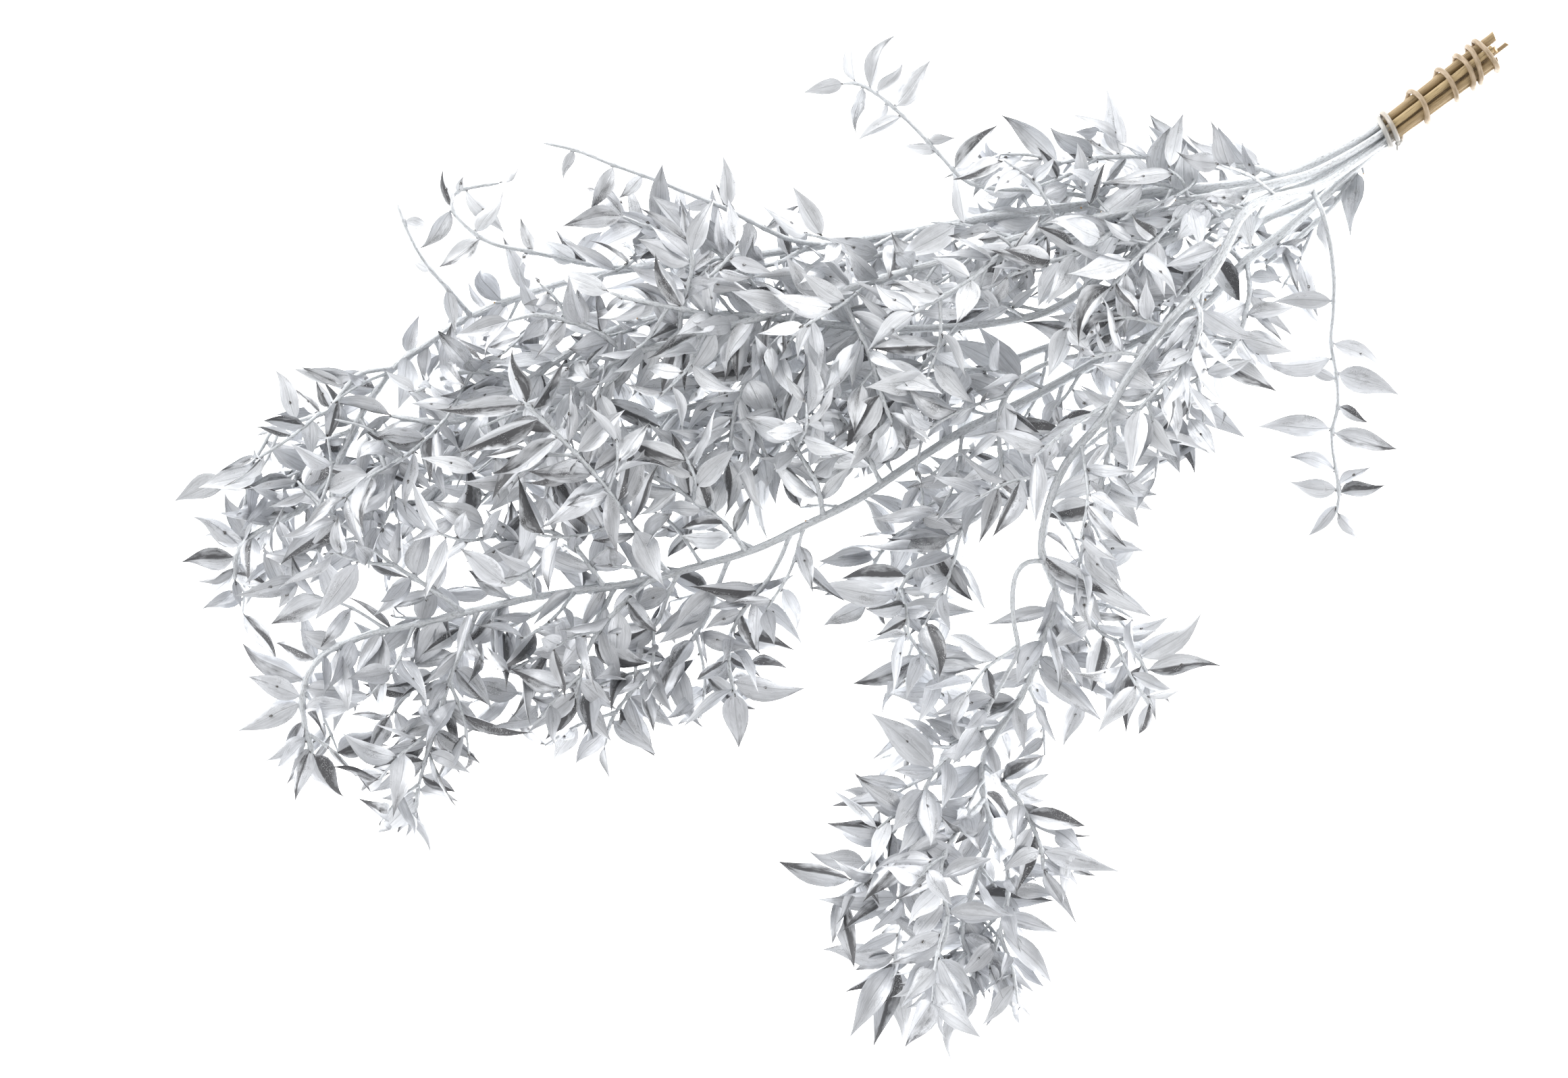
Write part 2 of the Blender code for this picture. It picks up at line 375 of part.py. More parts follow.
branch("twig_left_8", "stem_long_lower",
       [(-160, -25, 41), (-164, -10, 50), (-174, 2, 55), (-186, 12, 57), (-200, 18, 57)],
       [(-186, 12, -216, 23), (-200, 18, -222, 6), (-176, 4, -160, 22)])
branch("twig_left_9", "stem_long_lower", [(-85, -10, 47), (-92, -24, 42), (-98, -38, 37), (-110, -48, 33)])
branch("twig_far_left_1", "stem_middle",
       [(-205, 67, 48), (-218, 56, 54), (-232, 46, 57), (-246, 38, 58), (-258, 28, 57)],
       [(-232, 46, -212, 30), (-246, 38, -270, 42)])
branch("twig_far_left_2", "stem_low",
       [(-205, 38, 26), (-220, 44, 22), (-236, 46, 20), (-252, 44, 20), (-268, 46, 20)])
branch("twig_far_left_3", "stem_upper_arc",
       [(-256, 62, 34), (-270, 58, 25), (-282, 50, 21), (-290, 38, 20), (-294, 28, 20)],
       [(-288, 42, -302, 34), (-276, 55, -297, 52)])
branch("twig_far_left_4", "stem_upper_arc",
       [(-252, 70, 34), (-244, 56, 44), (-238, 42, 49), (-234, 28, 51), (-240, 12, 50)])
branch("twig_far_left_5", "stem_upper_arc",
       [(-268, 38, 32), (-266, 22, 38), (-270, 8, 40), (-276, -6, 39), (-284, -16, 37)],
       [(-276, -6, -306, -2), (-284, -16, -296, -30)])


def smooth_curve(points, before=None):
    """Points every ROUTE_STEP along the uniform Catmull-Rom curve through the given ones."""
    p = np.asarray(points, float)
    before = 2 * p[0] - p[1] if before is None else before
    p = np.vstack([before, p, 2 * p[-1] - p[-2]])
    t = np.linspace(0, 1, 24, endpoint=False)[:, None]
    spans = []
    for a, b, c, d in zip(p[:-3], p[1:-2], p[2:-1], p[3:]):
        bend = (2 * a - 5 * b + 4 * c - d) * t**2 + (3 * b - a - 3 * c + d) * t**3
        spans.append(0.5 * (2 * b + (c - a) * t + bend))
    dense = np.vstack([*spans, p[-2:-1]])
    along = lengths(dense)
    even = np.linspace(0, along[-1], max(3, round(along[-1] / ROUTE_STEP) + 1))
    return resampled(dense, along, even)


def resampled(points, along, distances):
    """Points of the polyline at those distances along it."""
    return np.stack([np.interp(distances, along, points[:, k]) for k in range(3)], axis=1)


def simplified(points, tolerance):
    """The fewest of these points that keep within tolerance of the line, both ends among them."""
    start, end = points[0], points[-1]
    line = (end - start) / max(np.linalg.norm(end - start), 1e-9)
    offset = points - start
    away = np.linalg.norm(offset - np.outer(offset @ line, line), axis=1)
    worst = int(away.argmax())
    if away[worst] <= tolerance or len(points) < 3:
        return np.array([start, end])
    before, after = simplified(points[: worst + 1], tolerance), simplified(points[worst:], tolerance)
    return np.vstack([before[:-1], after])


def lengths(points):
    """Distance along the polyline at each of its points."""
    return np.concatenate([[0], np.cumsum(np.linalg.norm(np.diff(points, axis=0), axis=1))])


def point_at(route, distance):
    """The point of a route's polyline at that distance, and the direction there."""
    line, along = route["line"], route["along"]
    k = int(np.clip(np.searchsorted(along, distance) - 1, 0, len(line) - 2))
    step = line[k + 1] - line[k]
    share = (distance - along[k]) / np.linalg.norm(step)
    return line[k] + share * step, step / np.linalg.norm(step)


def nearest_on(route, x, y):
    """Distance along a route's polyline of the point nearest to (x, y), seen from above."""
    tries = np.linspace(0, route["along"][-1], 400)
    seen = resampled(route["line"], route["along"], tries)[:, :2]
    return float(tries[np.linalg.norm(seen - (x, y), axis=1).argmin()])


def radius_at(route, distance):
    first, last = route["radii"]
    return first + (last - first) * (distance / route["along"][-1]) ** TAPER_POWER


def ring_slots():
    """Centre (sideways, up) of each stem's section: the first in the middle, the others packed round it."""
    names = list(STEMS)
    radius = {name: STEMS[name]["radii"][0] for name in names}
    slots = {names[0]: (0.0, 0.0)}
    angle = math.radians(RING_START_DEG)
    for k, name in enumerate(names[1:]):
        reach = radius[names[0]] + radius[name] + STEM_GAP
        if k:
            before = names[k]
            other = radius[names[0]] + radius[before] + STEM_GAP
            apart = radius[before] + radius[name] + STEM_GAP
            angle += math.acos((reach**2 + other**2 - apart**2) / (2 * reach * other))
        slots[name] = (reach * math.cos(angle), reach * math.sin(angle))
    return slots


def bundle_ends(side=0.0, up=0.0):
    """The two ends of the bundle's straight run, for a line that far sideways and up from its middle where
    the stems part. The middle is as high as makes the elastic band rest on the surface."""
    spread = np.array([BUNDLE_FAN, 1.0])
    below = band_support(np.array([1.5 * math.pi]), spread)[:, 0]
    height = below + BAND_RADIUS + BAND_LIFT + up * spread
    start, end = np.array((*BUNDLE_START, height[0])), np.array((*BUNDLE_END, height[1]))
    sideways = np.cross((end - start) * (1, 1, 0), (0, 0, 1.0))
    sideways *= side / np.linalg.norm(sideways)
    return start + BUNDLE_FAN * sideways, end + sideways


def lifted(line, fixed, placed, radius, skip):
    """The line moved up or down, past its fixed first stretch, until it clears every line placed before."""
    along = lengths(line)
    ease = np.clip((along - fixed) / EASE_LENGTH, 0, 1)
    ease = ease * ease * (3 - 2 * ease)
    for lift in ROUTE_LIFTS:
        moved = line.copy()
        moved[:, 2] = np.maximum(moved[:, 2] + lift * ease, radius + 0.3)
        free = moved[along > fixed + skip]
        if all(clear_of(free, other, radius) for other in placed):
            return moved
    return moved


def clear_of(points, other, radius):
    apart = np.linalg.norm(points[:, None] - other["dense"][None], axis=2)
    return bool((apart > radius + other["dense_radius"][None] + ROUTE_CLEARANCE).all())


def finish_route(route, line):
    """Keep the line with the fewest points, and points close together along it to test distances with."""
    if route["parent"]:
        route["line"] = simplified(line, TWIG_TOLERANCE)
    else:
        route["line"] = np.vstack([line[0], simplified(line[1:], STEM_TOLERANCE)])
    route["along"] = lengths(route["line"])
    distance = np.arange(0, route["along"][-1], 2.0)
    route["dense"] = resampled(route["line"], route["along"], distance)
    route["dense_radius"] = np.array([radius_at(route, d) for d in distance])
    return route


def lay_out_routes():
    """Every stem and twig as a polyline in millimetres, root first, none of them through another."""
    placed = {}
    for name, (side, up) in ring_slots().items():
        made = STEMS[name]
        start, end = bundle_ends(side, up)
        ahead = (end - start) / np.linalg.norm(end - start)
        reach = np.linalg.norm(np.array(made["route"][0]) - end)
        curve = smooth_curve(np.vstack([end, made["route"]]), before=end - ahead * reach)
        line = np.vstack([start - ahead * made["cut"], curve])
        held = float(np.linalg.norm(end - line[0])) + HELD_PAST_BUNDLE
        line = lifted(line, held, placed.values(), made["radii"][0], SPREAD_LENGTH)
        placed[name] = finish_route(made, line)
    for made in BRANCHES:
        parent = placed[made["parent"]]
        made["stem"] = parent["stem"]
        root_at = nearest_on(parent, *made["route"][0][:2])
        root, _ = point_at(parent, root_at)
        thick = radius_at(parent, root_at)
        line = smooth_curve(np.vstack([root, made["route"][1:]]))
        line = lifted(line, 0.0, placed.values(), TWIG_RADIUS, thick + TWIG_ROOT_LENGTH)
        made["root_radius"] = min(TWIG_RADIUS, 0.6 * thick)
        placed[made["name"]] = finish_route(made, line)
    return placed


def ring_frames(line):
    """Two directions square to a polyline at each point, carried along it without twisting."""
    ahead = np.gradient(line, axis=0)
    ahead /= np.linalg.norm(ahead, axis=1)[:, None]
    first = np.cross(ahead[0], (0.13, 0.31, 0.94))
    frames = []
    for direction in ahead:
        first = first - (first @ direction) * direction
        first = first / np.linalg.norm(first)
        frames.append((first, np.cross(direction, first)))
    return frames


def tube_mesh(line, radii, sides):
    """Points and faces of a closed tube round a polyline, with a flat cap at each end."""
    turn = np.arange(sides) * 2 * math.pi / sides
    rings = []
    for point, radius, (a, b) in zip(line, radii, ring_frames(line)):
        rings.append(point + radius * (np.outer(np.cos(turn), a) + np.outer(np.sin(turn), b)))
    faces = [tuple(reversed(range(sides)))]
    for k in range(len(rings) - 1):
        for j in range(sides):
            n = (j + 1) % sides
            faces.append((k * sides + j, k * sides + n, (k + 1) * sides + n, (k + 1) * sides + j))
    faces.append(tuple((len(rings) - 1) * sides + j for j in range(sides)))
    return np.vstack(rings), faces


def route_mesh(route):
    radii = [radius_at(route, d) for d in route["along"]]
    if route["parent"]:
        radii[0] = route["root_radius"]
    return tube_mesh(route["line"], radii, TWIG_SIDES if route["parent"] else STEM_SIDES)


def leaf_point(leaf, at):
    """Middle of the blade at that share of its length, and its directions across and up, with its twist."""
    reach = leaf["tip"] - leaf["root"]
    length = np.linalg.norm(reach)
    ahead = reach / length
    normal = leaf["normal"] - (leaf["normal"] @ ahead) * ahead
    normal /= np.linalg.norm(normal)
    side = np.cross(ahead, normal)
    turn = leaf["twist"] * (at - 0.4)
    middle = leaf["root"] + reach * at + normal * (leaf["arch"] * length * 4 * at * (1 - at))
    out = side * math.cos(turn) + normal * math.sin(turn)
    return middle, out, normal * math.cos(turn) - side * math.sin(turn)


def leaf_mesh(leaf, grow=0.0):
    """Points and faces of one blade: a flat face, and a ridge along the rib of the other, pointed at both
    ends. The flat face is split along the diagonal that its twist lowers, so the two faces never cross.
    With grow, the blade is that much wider and thicker all round, to test what lies close to it."""
    thick_at, thick = LEAF_THICKEST
    narrow_at, narrow = LEAF_NARROWING
    reach = leaf["tip"] - leaf["root"]
    middle, _, up = leaf_point(leaf, thick_at)
    points = [leaf["root"] - reach / np.linalg.norm(reach) * LEAF_ROOT_SINK,
              middle + leaf["ridge_side"] * up * (thick + grow)]
    for at, wide in ((LEAF_WIDEST, 1.0), (narrow_at, narrow)):
        middle, out, up = leaf_point(leaf, at)
        half = 0.5 * leaf["width"] * wide + grow
        flat = middle - leaf["ridge_side"] * up * grow
        points += [flat - out * half, flat + out * half]
    points.append(leaf["tip"])
    lowered = [(2, 4, 3), (4, 5, 3)] if leaf["twist"] * leaf["ridge_side"] > 0 else [(2, 4, 5), (2, 5, 3)]
    faces = [(0, 2, 3), *lowered, (4, 6, 5), (0, 1, 2), (1, 4, 2), (1, 6, 4), (0, 3, 1), (1, 3, 5), (1, 5, 6)]
    if leaf["ridge_side"] < 0:
        faces = [face[::-1] for face in faces]
    return np.array(points), faces


class Neighbours:
    """The surfaces placed so far, to test a new blade against."""

    def __init__(self, routes):
        self.trees, self.centres, self.reaches, self.names = [], [], [], []
        for route in routes.values():
            self.add(route["name"], *route_mesh(route))

    def add(self, name, points, faces):
        centre = points.mean(axis=0)
        self.trees.append(BVHTree.FromPolygons([Vector(p) for p in points], faces))
        self.centres.append(centre)
        self.reaches.append(np.linalg.norm(points - centre, axis=1).max())
        self.names.append(name)

    def free(self, own, points, faces):
        """Whether a blade meets nothing but the twig that it grows from, its own."""
        centre = points.mean(axis=0)
        reach = np.linalg.norm(points - centre, axis=1).max()
        near = np.linalg.norm(np.array(self.centres) - centre, axis=1) < np.array(self.reaches) + reach
        tree = BVHTree.FromPolygons([Vector(p) for p in points], faces)
        return not any(self.names[k] != own and tree.overlap(self.trees[k]) for k in np.flatnonzero(near))


def new_leaf(route, at, direction, length, draw, flat=0.0):
    """A blade rooted on the route's line, reaching that far along direction."""
    root, _ = point_at(route, at)
    lean = draw.uniform(-1.0, 1.0) * (1.0 - flat)
    across = np.cross(direction, (0, 0, 1.0))
    normal = np.array((0, 0, 1.0)) + across * lean + 0.1 * direction
    arch = draw.uniform(*LEAF_ARCH)
    return {"route": route["name"], "stem": route["stem"], "at": at, "root": root,
            "tip": root + direction * length, "normal": normal, "arch": arch,
            "width": length * draw.uniform(*LEAF_WIDTH_SHARE), "twist": draw.uniform(-LEAF_TWIST, LEAF_TWIST),
            "ridge_side": -1 if arch > 0 else 1}


def fits(leaf, neighbours):
    """Whether a blade stays above the surface, and clear of everything but its own twig, grown or not.
    The grown shape alone isn't enough, since its shallow sides pass under the blade's thin edges."""
    blade, grown = leaf_mesh(leaf), leaf_mesh(leaf, LEAF_CLEARANCE)
    own = leaf["route"]
    return blade[0][:, 2].min() >= 0 and neighbours.free(own, *blade) and neighbours.free(own, *grown)


def chosen_leaf(route, spot, draw, neighbours):
    """The blade whose root and tip are given as seen from above. Its tip is raised or lowered until it
    is clear, unless the height of the tip is given too."""
    root_x, root_y, tip_x, tip_y, *height = spot
    at = min(nearest_on(route, root_x, root_y), route["along"][-1] - LEAF_LAST)
    root, _ = point_at(route, at)
    for rise in LEAF_RISES:
        tip_z = height[0] if height else max(root[2] + rise + draw.uniform(-3, 3), 1.5)
        tip = np.array((tip_x, tip_y, tip_z))
        direction = tip - root
        length = float(np.linalg.norm(direction))
        leaf = new_leaf(route, at, direction / length, length, draw, flat=LEAF_FLATNESS)
        leaf["width"] = min(leaf["width"], LEAF_WIDTH_LIMIT)
        if fits(leaf, neighbours):
            return leaf
    return None


def ruled_leaf(route, at, rank, draw, neighbours, last):
    """A blade by the rule: ranks lie to either side of the twig, swept towards its tip, turned on round
    the twig until they are clear."""
    _, ahead = point_at(route, at)
    side = np.cross(ahead, (0, 0, 1.0))
    side /= np.linalg.norm(side)
    over = np.cross(side, ahead)
    share = at / route["along"][-1]
    for k in range(LEAF_TRIES):
        turn = (0 if rank % 2 else math.pi) + draw.uniform(-TURN_WANDER, TURN_WANDER) + TURN_STEP * k
        if last and k == 0:
            sweep = END_SWEEP
        else:
            sweep = math.radians(draw.uniform(*LEAF_SWEEP_DEG) - SWEEP_LOSS_DEG * share)
        out = side * math.cos(turn) + over * math.sin(turn)
        direction = ahead * math.cos(sweep) + out * math.sin(sweep)
        length = draw.uniform(*LEAF_LENGTH) * (1 - SHRINK_STEP * k)
        leaf = new_leaf(route, at, direction, length, draw)
        if fits(leaf, neighbours):
            return leaf
    return None


def lay_out_leaves(routes):
    """Every blade: first the chosen ones, then those that the rule adds along each stem and twig."""
    neighbours = Neighbours(routes)
    leaves = []

    def keep(leaf):
        if leaf:
            leaves.append(leaf)
            neighbours.add("leaf", *leaf_mesh(leaf))

    for route in routes.values():
        draw = random.Random(route["name"] + " chosen")
        for spot in route["leaves"]:
            keep(chosen_leaf(route, spot, draw, neighbours))
    for route in routes.values():
        draw = random.Random(route["name"] + " ruled")
        total = route["along"][-1]
        start = max(route["bare"] * total, LEAF_FIRST)
        count = max(1, round((total - start) / route["spacing"]))
        for rank in range(count + 1):
            at = start + (total - LEAF_LAST - start) * rank / count
            taken = [leaf["at"] for leaf in leaves if leaf["route"] == route["name"]]
            if all(abs(at - other) > TAKEN_SHARE * route["spacing"] for other in taken):
                keep(ruled_leaf(route, at, rank, draw, neighbours, rank == count))
    return leaves


def mesh_object(name, points, faces):
    mesh = bpy.data.meshes.new(name)
    mesh.from_pydata([tuple(p * MM) for p in points], [], faces)
    mesh.update()
    return bpy.data.objects.new(name, mesh)


def paint(name, colour, roughness, metallic):
    """A Principled material of one colour."""
    material = bpy.data.materials.new(name)
    material.use_nodes = True
    shader = material.node_tree.nodes["Principled BSDF"]
    shader.inputs["Base Color"].default_value = colour
    shader.inputs["Roughness"].default_value = roughness
    shader.inputs["Metallic"].default_value = metallic
    return material


def join(body, pieces):
    """One Boolean union of a body with all the pieces, which are then removed."""
    growth = bpy.data.collections.new(body.name + "_growth")
    bpy.context.scene.collection.children.link(growth)
    for piece in pieces:
        growth.objects.link(piece)
    union = body.modifiers.new("union", "BOOLEAN")
    union.operation = "UNION"
    union.operand_type = "COLLECTION"
    union.collection = growth
    union.solver = "MANIFOLD"
    with bpy.context.temp_override(object=body, active_object=body):
        bpy.ops.object.modifier_apply(modifier=union.name)
    for piece in pieces:
        bpy.data.objects.remove(piece)
    bpy.data.collections.remove(growth)


def build_stem(name, routes, leaves, material):
    """One stem with its twigs and blades, as one solid."""
    body = mesh_object(name, *route_mesh(routes[name]))
    body.data.materials.append(material)
    bpy.context.scene.collection.objects.link(body)
    twigs = [route for route in routes.values() if route["parent"] and route["stem"] == name]
    shapes = [route_mesh(route) for route in twigs]
    shapes += [leaf_mesh(leaf) for leaf in leaves if leaf["stem"] == name]
    join(body, [mesh_object("growth", *shape) for shape in shapes])


def band_support(facing, spread):
    """How far out the stems hold the band in each facing direction, with their ring that much wider."""
    support = np.full((len(spread), len(facing)), -np.inf)
    for name, (side, up) in ring_slots().items():
        radius = STEMS[name]["radii"][0] + BAND_GAP + BAND_RADIUS
        out = side * np.cos(facing) + up * np.sin(facing)
        support = np.maximum(support, spread[:, None] * out[None] + radius)
    return support


def band_reach(turn, spread):
    """Distance from the bundle's middle to a band drawn tight round the stems, in each direction of turn.
    The tight band is the overlap of the half planes that each just hold all the stems."""
    facing = np.radians(np.arange(0, 360, 5.0))
    cosine = np.cos(turn[:, None] - facing[None])
    held = band_support(facing, spread)
    return np.where(cosine > 0.2, held / np.maximum(cosine, 0.2), np.inf).min(axis=1)


def band_place(lap):
    """Points of the band's middle line at those laps, and the direction straight out from the bundle."""
    turn = lap * 2 * math.pi
    start, end = bundle_ends()
    share = np.interp(lap, BAND_LAPS, BAND_PLACES) / np.linalg.norm(start - end)
    reach = band_reach(turn, 1 + (BUNDLE_FAN - 1) * share)
    sideways = np.cross((0, 0, 1.0), start - end)
    sideways /= np.linalg.norm(sideways)
    centre = end + share[:, None] * (start - end)
    out = np.cos(turn)[:, None] * sideways + np.sin(turn)[:, None] * np.array((0, 0, 1.0))
    return centre + reach[:, None] * out, out


def build_band(material):
    """The elastic band, wound in slanting turns, and its knot."""
    laps = np.arange(BAND_LAPS[0], BAND_LAPS[-1] + 1e-6, BAND_STEP_DEG / 360)
    path, _ = band_place(laps)
    band = mesh_object("elastic_band", *tube_mesh(path, [BAND_RADIUS] * len(path), BAND_SIDES))
    band.data.materials.append(material)
    bpy.context.scene.collection.objects.link(band)
    place, out = band_place(np.array([KNOT_LAP]))
    knot = bpy.data.meshes.new("knot")
    ball = bmesh.new()
    seat = Matrix.Translation(Vector((place[0] + out[0] * KNOT_RISE) * MM))
    bmesh.ops.create_icosphere(ball, subdivisions=1, radius=KNOT_RADIUS * MM, matrix=seat)
    ball.to_mesh(knot)
    ball.free()
    join(band, [bpy.data.objects.new("knot", knot)])


def main():
    for old in list(bpy.data.objects):
        bpy.data.objects.remove(old)
    routes = lay_out_routes()
    leaves = lay_out_leaves(routes)
    silver = paint("silver_painted_ruscus", SILVER, 0.45, 0.55)
    for name in STEMS:
        build_stem(name, routes, leaves, silver)
    build_band(paint("beige_rubber", BAND_BEIGE, 0.6, 0.0))


main()
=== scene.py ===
# %% [markdown]
# # A tied bunch of dried ruscus, painted silver
#
# Seven woody stems lie side by side, wound with an elastic band near their cut ends. Beyond the band they
# arch apart, branch into thin twigs, and carry some 2,200 stiff, pointed blades. All of it but the wood near
# the cut ends was sprayed with silver paint. The CAD model already has this shape with plain facets. Here
# we load it as a fixed frame and grow a finer skin in the same places: folded blades with rough nerves,
# ridged bark, bare wood, a real band. Lengths are millimetres until a mesh is made.

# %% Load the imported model
import json
import math
import random

import bpy
import numpy as np
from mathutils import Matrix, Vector
from mathutils.bvhtree import BVHTree

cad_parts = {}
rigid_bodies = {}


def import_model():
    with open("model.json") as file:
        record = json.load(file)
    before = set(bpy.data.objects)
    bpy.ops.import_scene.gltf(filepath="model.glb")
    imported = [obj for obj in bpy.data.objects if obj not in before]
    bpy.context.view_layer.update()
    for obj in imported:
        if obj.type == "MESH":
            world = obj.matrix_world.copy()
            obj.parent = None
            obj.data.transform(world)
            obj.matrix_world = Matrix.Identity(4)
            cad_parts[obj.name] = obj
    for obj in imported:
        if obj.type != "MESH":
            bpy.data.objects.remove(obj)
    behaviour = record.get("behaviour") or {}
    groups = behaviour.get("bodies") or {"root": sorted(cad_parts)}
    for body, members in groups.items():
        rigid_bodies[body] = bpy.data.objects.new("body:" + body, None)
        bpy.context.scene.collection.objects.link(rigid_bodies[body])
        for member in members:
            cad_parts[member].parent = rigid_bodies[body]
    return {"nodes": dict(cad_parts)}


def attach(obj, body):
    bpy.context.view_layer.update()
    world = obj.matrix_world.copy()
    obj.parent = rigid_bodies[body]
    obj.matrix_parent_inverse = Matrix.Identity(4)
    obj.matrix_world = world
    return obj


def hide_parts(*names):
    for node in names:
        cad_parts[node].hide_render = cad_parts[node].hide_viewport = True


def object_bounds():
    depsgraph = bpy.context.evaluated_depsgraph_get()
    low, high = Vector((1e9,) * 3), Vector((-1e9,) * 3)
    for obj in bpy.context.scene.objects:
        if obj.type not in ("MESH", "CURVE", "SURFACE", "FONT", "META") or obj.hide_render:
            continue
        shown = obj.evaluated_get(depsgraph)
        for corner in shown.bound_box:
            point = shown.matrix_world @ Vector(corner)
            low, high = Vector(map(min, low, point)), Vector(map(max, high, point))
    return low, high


MM = 0.001
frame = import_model()
cad_low, cad_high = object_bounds()
print("CAD nodes:", ", ".join(sorted(frame["nodes"])))
print("CAD box in mm:", [round(x / MM) for x in cad_low], "to", [round(x / MM) for x in cad_high])

# %% [markdown]
# ## Where the stems and twigs run
#
# A stem on the real bunch is a smooth, slightly wandering line. A few given points on each one, with a
# curve laid through them, give that line with little data and are easy to move. The numbers are the ones
# that the CAD model uses, so both grow alike: (x, y, z) along each route, and for a blade listed one by one
# its root and tip seen from above.

# %% The stems and twigs
# The bundle runs from BUNDLE_START, near the cuts, to BUNDLE_END, where the stems part
STEM_GAP = 0.35
BUNDLE_START = (341, 261.7)
BUNDLE_END = (281, 216.3)
BUNDLE_FAN = 1.25
RING_START_DEG = 10.0
TWIG_RADIUS = 1.15
TWIG_TIP_RADIUS = 0.75
LEAF_SPACING = 17.6
STEMS = {}
BRANCHES = []


def stem(name, butt_radius, tip_radius, cut, route, leaves=(), bare=0.5, spacing=LEAF_SPACING):
    """A main stem: its radii, how far its cut end stands past the bundle's axis, and its free route."""
    STEMS[name] = {"name": name, "stem": name, "parent": None, "radii": (butt_radius, tip_radius), "cut": cut,
                   "route": route, "leaves": leaves, "bare": bare, "spacing": spacing}


def branch(name, parent, route, leaves=(), bare=0.12, spacing=LEAF_SPACING):
    """A side twig, which starts at the point of its parent nearest to the first point of its route."""
    BRANCHES.append({"name": name, "parent": parent, "radii": (TWIG_RADIUS, TWIG_TIP_RADIUS),
                     "route": route, "leaves": leaves, "bare": bare, "spacing": spacing})


# %% The main stems: the first is the middle of the bundle and the others stand round it, in this order
stem("stem_middle", 2.0, 1.1, 2, [
    (246, 193, 24), (222, 184, 36), (195, 173, 45), (168, 161, 51), (145, 150, 55), (112, 127, 57),
    (90, 120, 57), (60, 116, 57), (20, 115, 58), (-15, 118, 60), (-45, 121, 62), (-80, 122, 62),
    (-112, 117, 60), (-140, 104, 58), (-168, 86, 55), (-195, 69, 50), (-215, 67, 46), (-235, 70, 42)],
    bare=0.6)
stem("stem_upper_arc", 2.6, 1.1, 5.5, [
    (247, 203, 24), (225, 194, 35), (195, 189, 46), (160, 186, 53), (125, 179, 58), (90, 175, 60),
    (60, 170, 60), (20, 163, 58), (-20, 157, 55), (-65, 151, 52), (-105, 147, 50), (-135, 142, 48),
    (-160, 135, 46), (-182, 127, 44), (-202, 118, 42), (-218, 107, 40), (-232, 98, 38), (-243, 84, 36),
    (-252, 70, 34), (-260, 54, 32), (-268, 38, 30), (-279, 25, 28), (-293, 16, 26), (-307, 9, 23),
    (-317, -1, 20), (-319, -15, 17)],
    [(-318, -3, -348, -6), (-318, 3, -340, 22), (-319, -14, -336, -28, 0), (-317, 5, -306, 42),
     (-317, -8, -306, -24), (-319, -15, -316, -31), (-317, -12, -299, -19), (-227, 101, -223, 124),
     (-311, 7, -325, 30), (-293, 16, -288, -15), (-200, 119, -206, 136), (-186, 124, -196, 140)],
    bare=0.72)
stem("stem_high", 2.1, 1.1, 0, [
    (247, 198, 34), (225, 191, 48), (195, 184, 61), (160, 178, 73), (125, 170, 81), (90, 161, 87),
    (62, 152, 89), (30, 143, 90), (0, 134, 90), (-30, 124, 89), (-60, 115, 87), (-85, 108, 84),
    (-112, 101, 80), (-130, 90, 76), (-146, 76, 71), (-158, 58, 66), (-166, 42, 62)], bare=0.62)
stem("stem_drooping", 2.2, 1.1, -3, [
    (250, 191, 37), (233, 185, 55), (215, 180, 70), (204, 171, 82), (197, 157, 90), (189, 143, 96),
    (178, 130, 100), (166, 117, 102), (154, 102, 102), (144, 87, 100), (136, 73, 97), (127, 61, 94),
    (118, 51, 89), (111, 39, 84), (106, 26, 79), (103, 12, 74), (102, 0, 69), (106, -11, 64), (110, -21, 59),
    (108, -34, 54), (103, -48, 49), (98, -64, 44), (90, -80, 39), (80, -95, 34), (73, -110, 30),
    (73, -128, 27), (77, -146, 24), (72, -164, 21), (66, -182, 19), (62, -200, 17), (67, -216, 15),
    (68, -226, 14)],
    [(68, -226, 51, -270, 0), (68, -180, 112, -184), (98, -68, 70, -67), (92, -78, 60, -82),
     (73, -112, 95, -118), (100, -60, 136, -88), (78, -98, 103, -83), (76, -100, 80, -124)],
    bare=0.62)
stem("stem_long_lower", 2.3, 1.1, -1, [
    (248, 182, 19), (226, 163, 27), (208, 149, 35), (188, 128, 42), (165, 114, 46), (135, 100, 50),
    (100, 81, 54), (80, 71, 55), (60, 61, 56), (35, 45, 56), (8, 27, 55), (-20, 13, 53), (-45, 1, 51),
    (-75, -8, 48), (-110, -17, 45), (-140, -21, 42), (-170, -26, 40), (-200, -33, 37), (-225, -39, 34),
    (-248, -44, 31), (-266, -51, 28), (-277, -60, 25), (-283, -75, 22), (-282, -92, 19), (-278, -106, 17)],
    [(-282, -66, -317, -52), (-284, -80, -318, -95), (-282, -98, -304, -111), (-279, -104, -292, -124),
     (-277, -106, -266, -133, 0), (-280, -97, -253, -102), (-283, -70, -246, -75), (-283, -84, -252, -79),
     (-283, -76, -312, -65), (-266, -51, -245, -55), (-240, -43, -245, -84), (-274, -57, -284, -28),
     (-222, -39, -214, -12), (-262, -50, -258, -84)],
    bare=0.7)
stem("stem_short", 1.2, 1.0, 9, [
    (261, 186, 9), (251, 175, 12), (241, 166, 16), (230, 157, 19), (221, 150, 19)],
    [(236, 165, 240, 150), (230, 159, 214, 168), (221, 150, 230, 138), (226, 155, 243, 166)], bare=0.6)
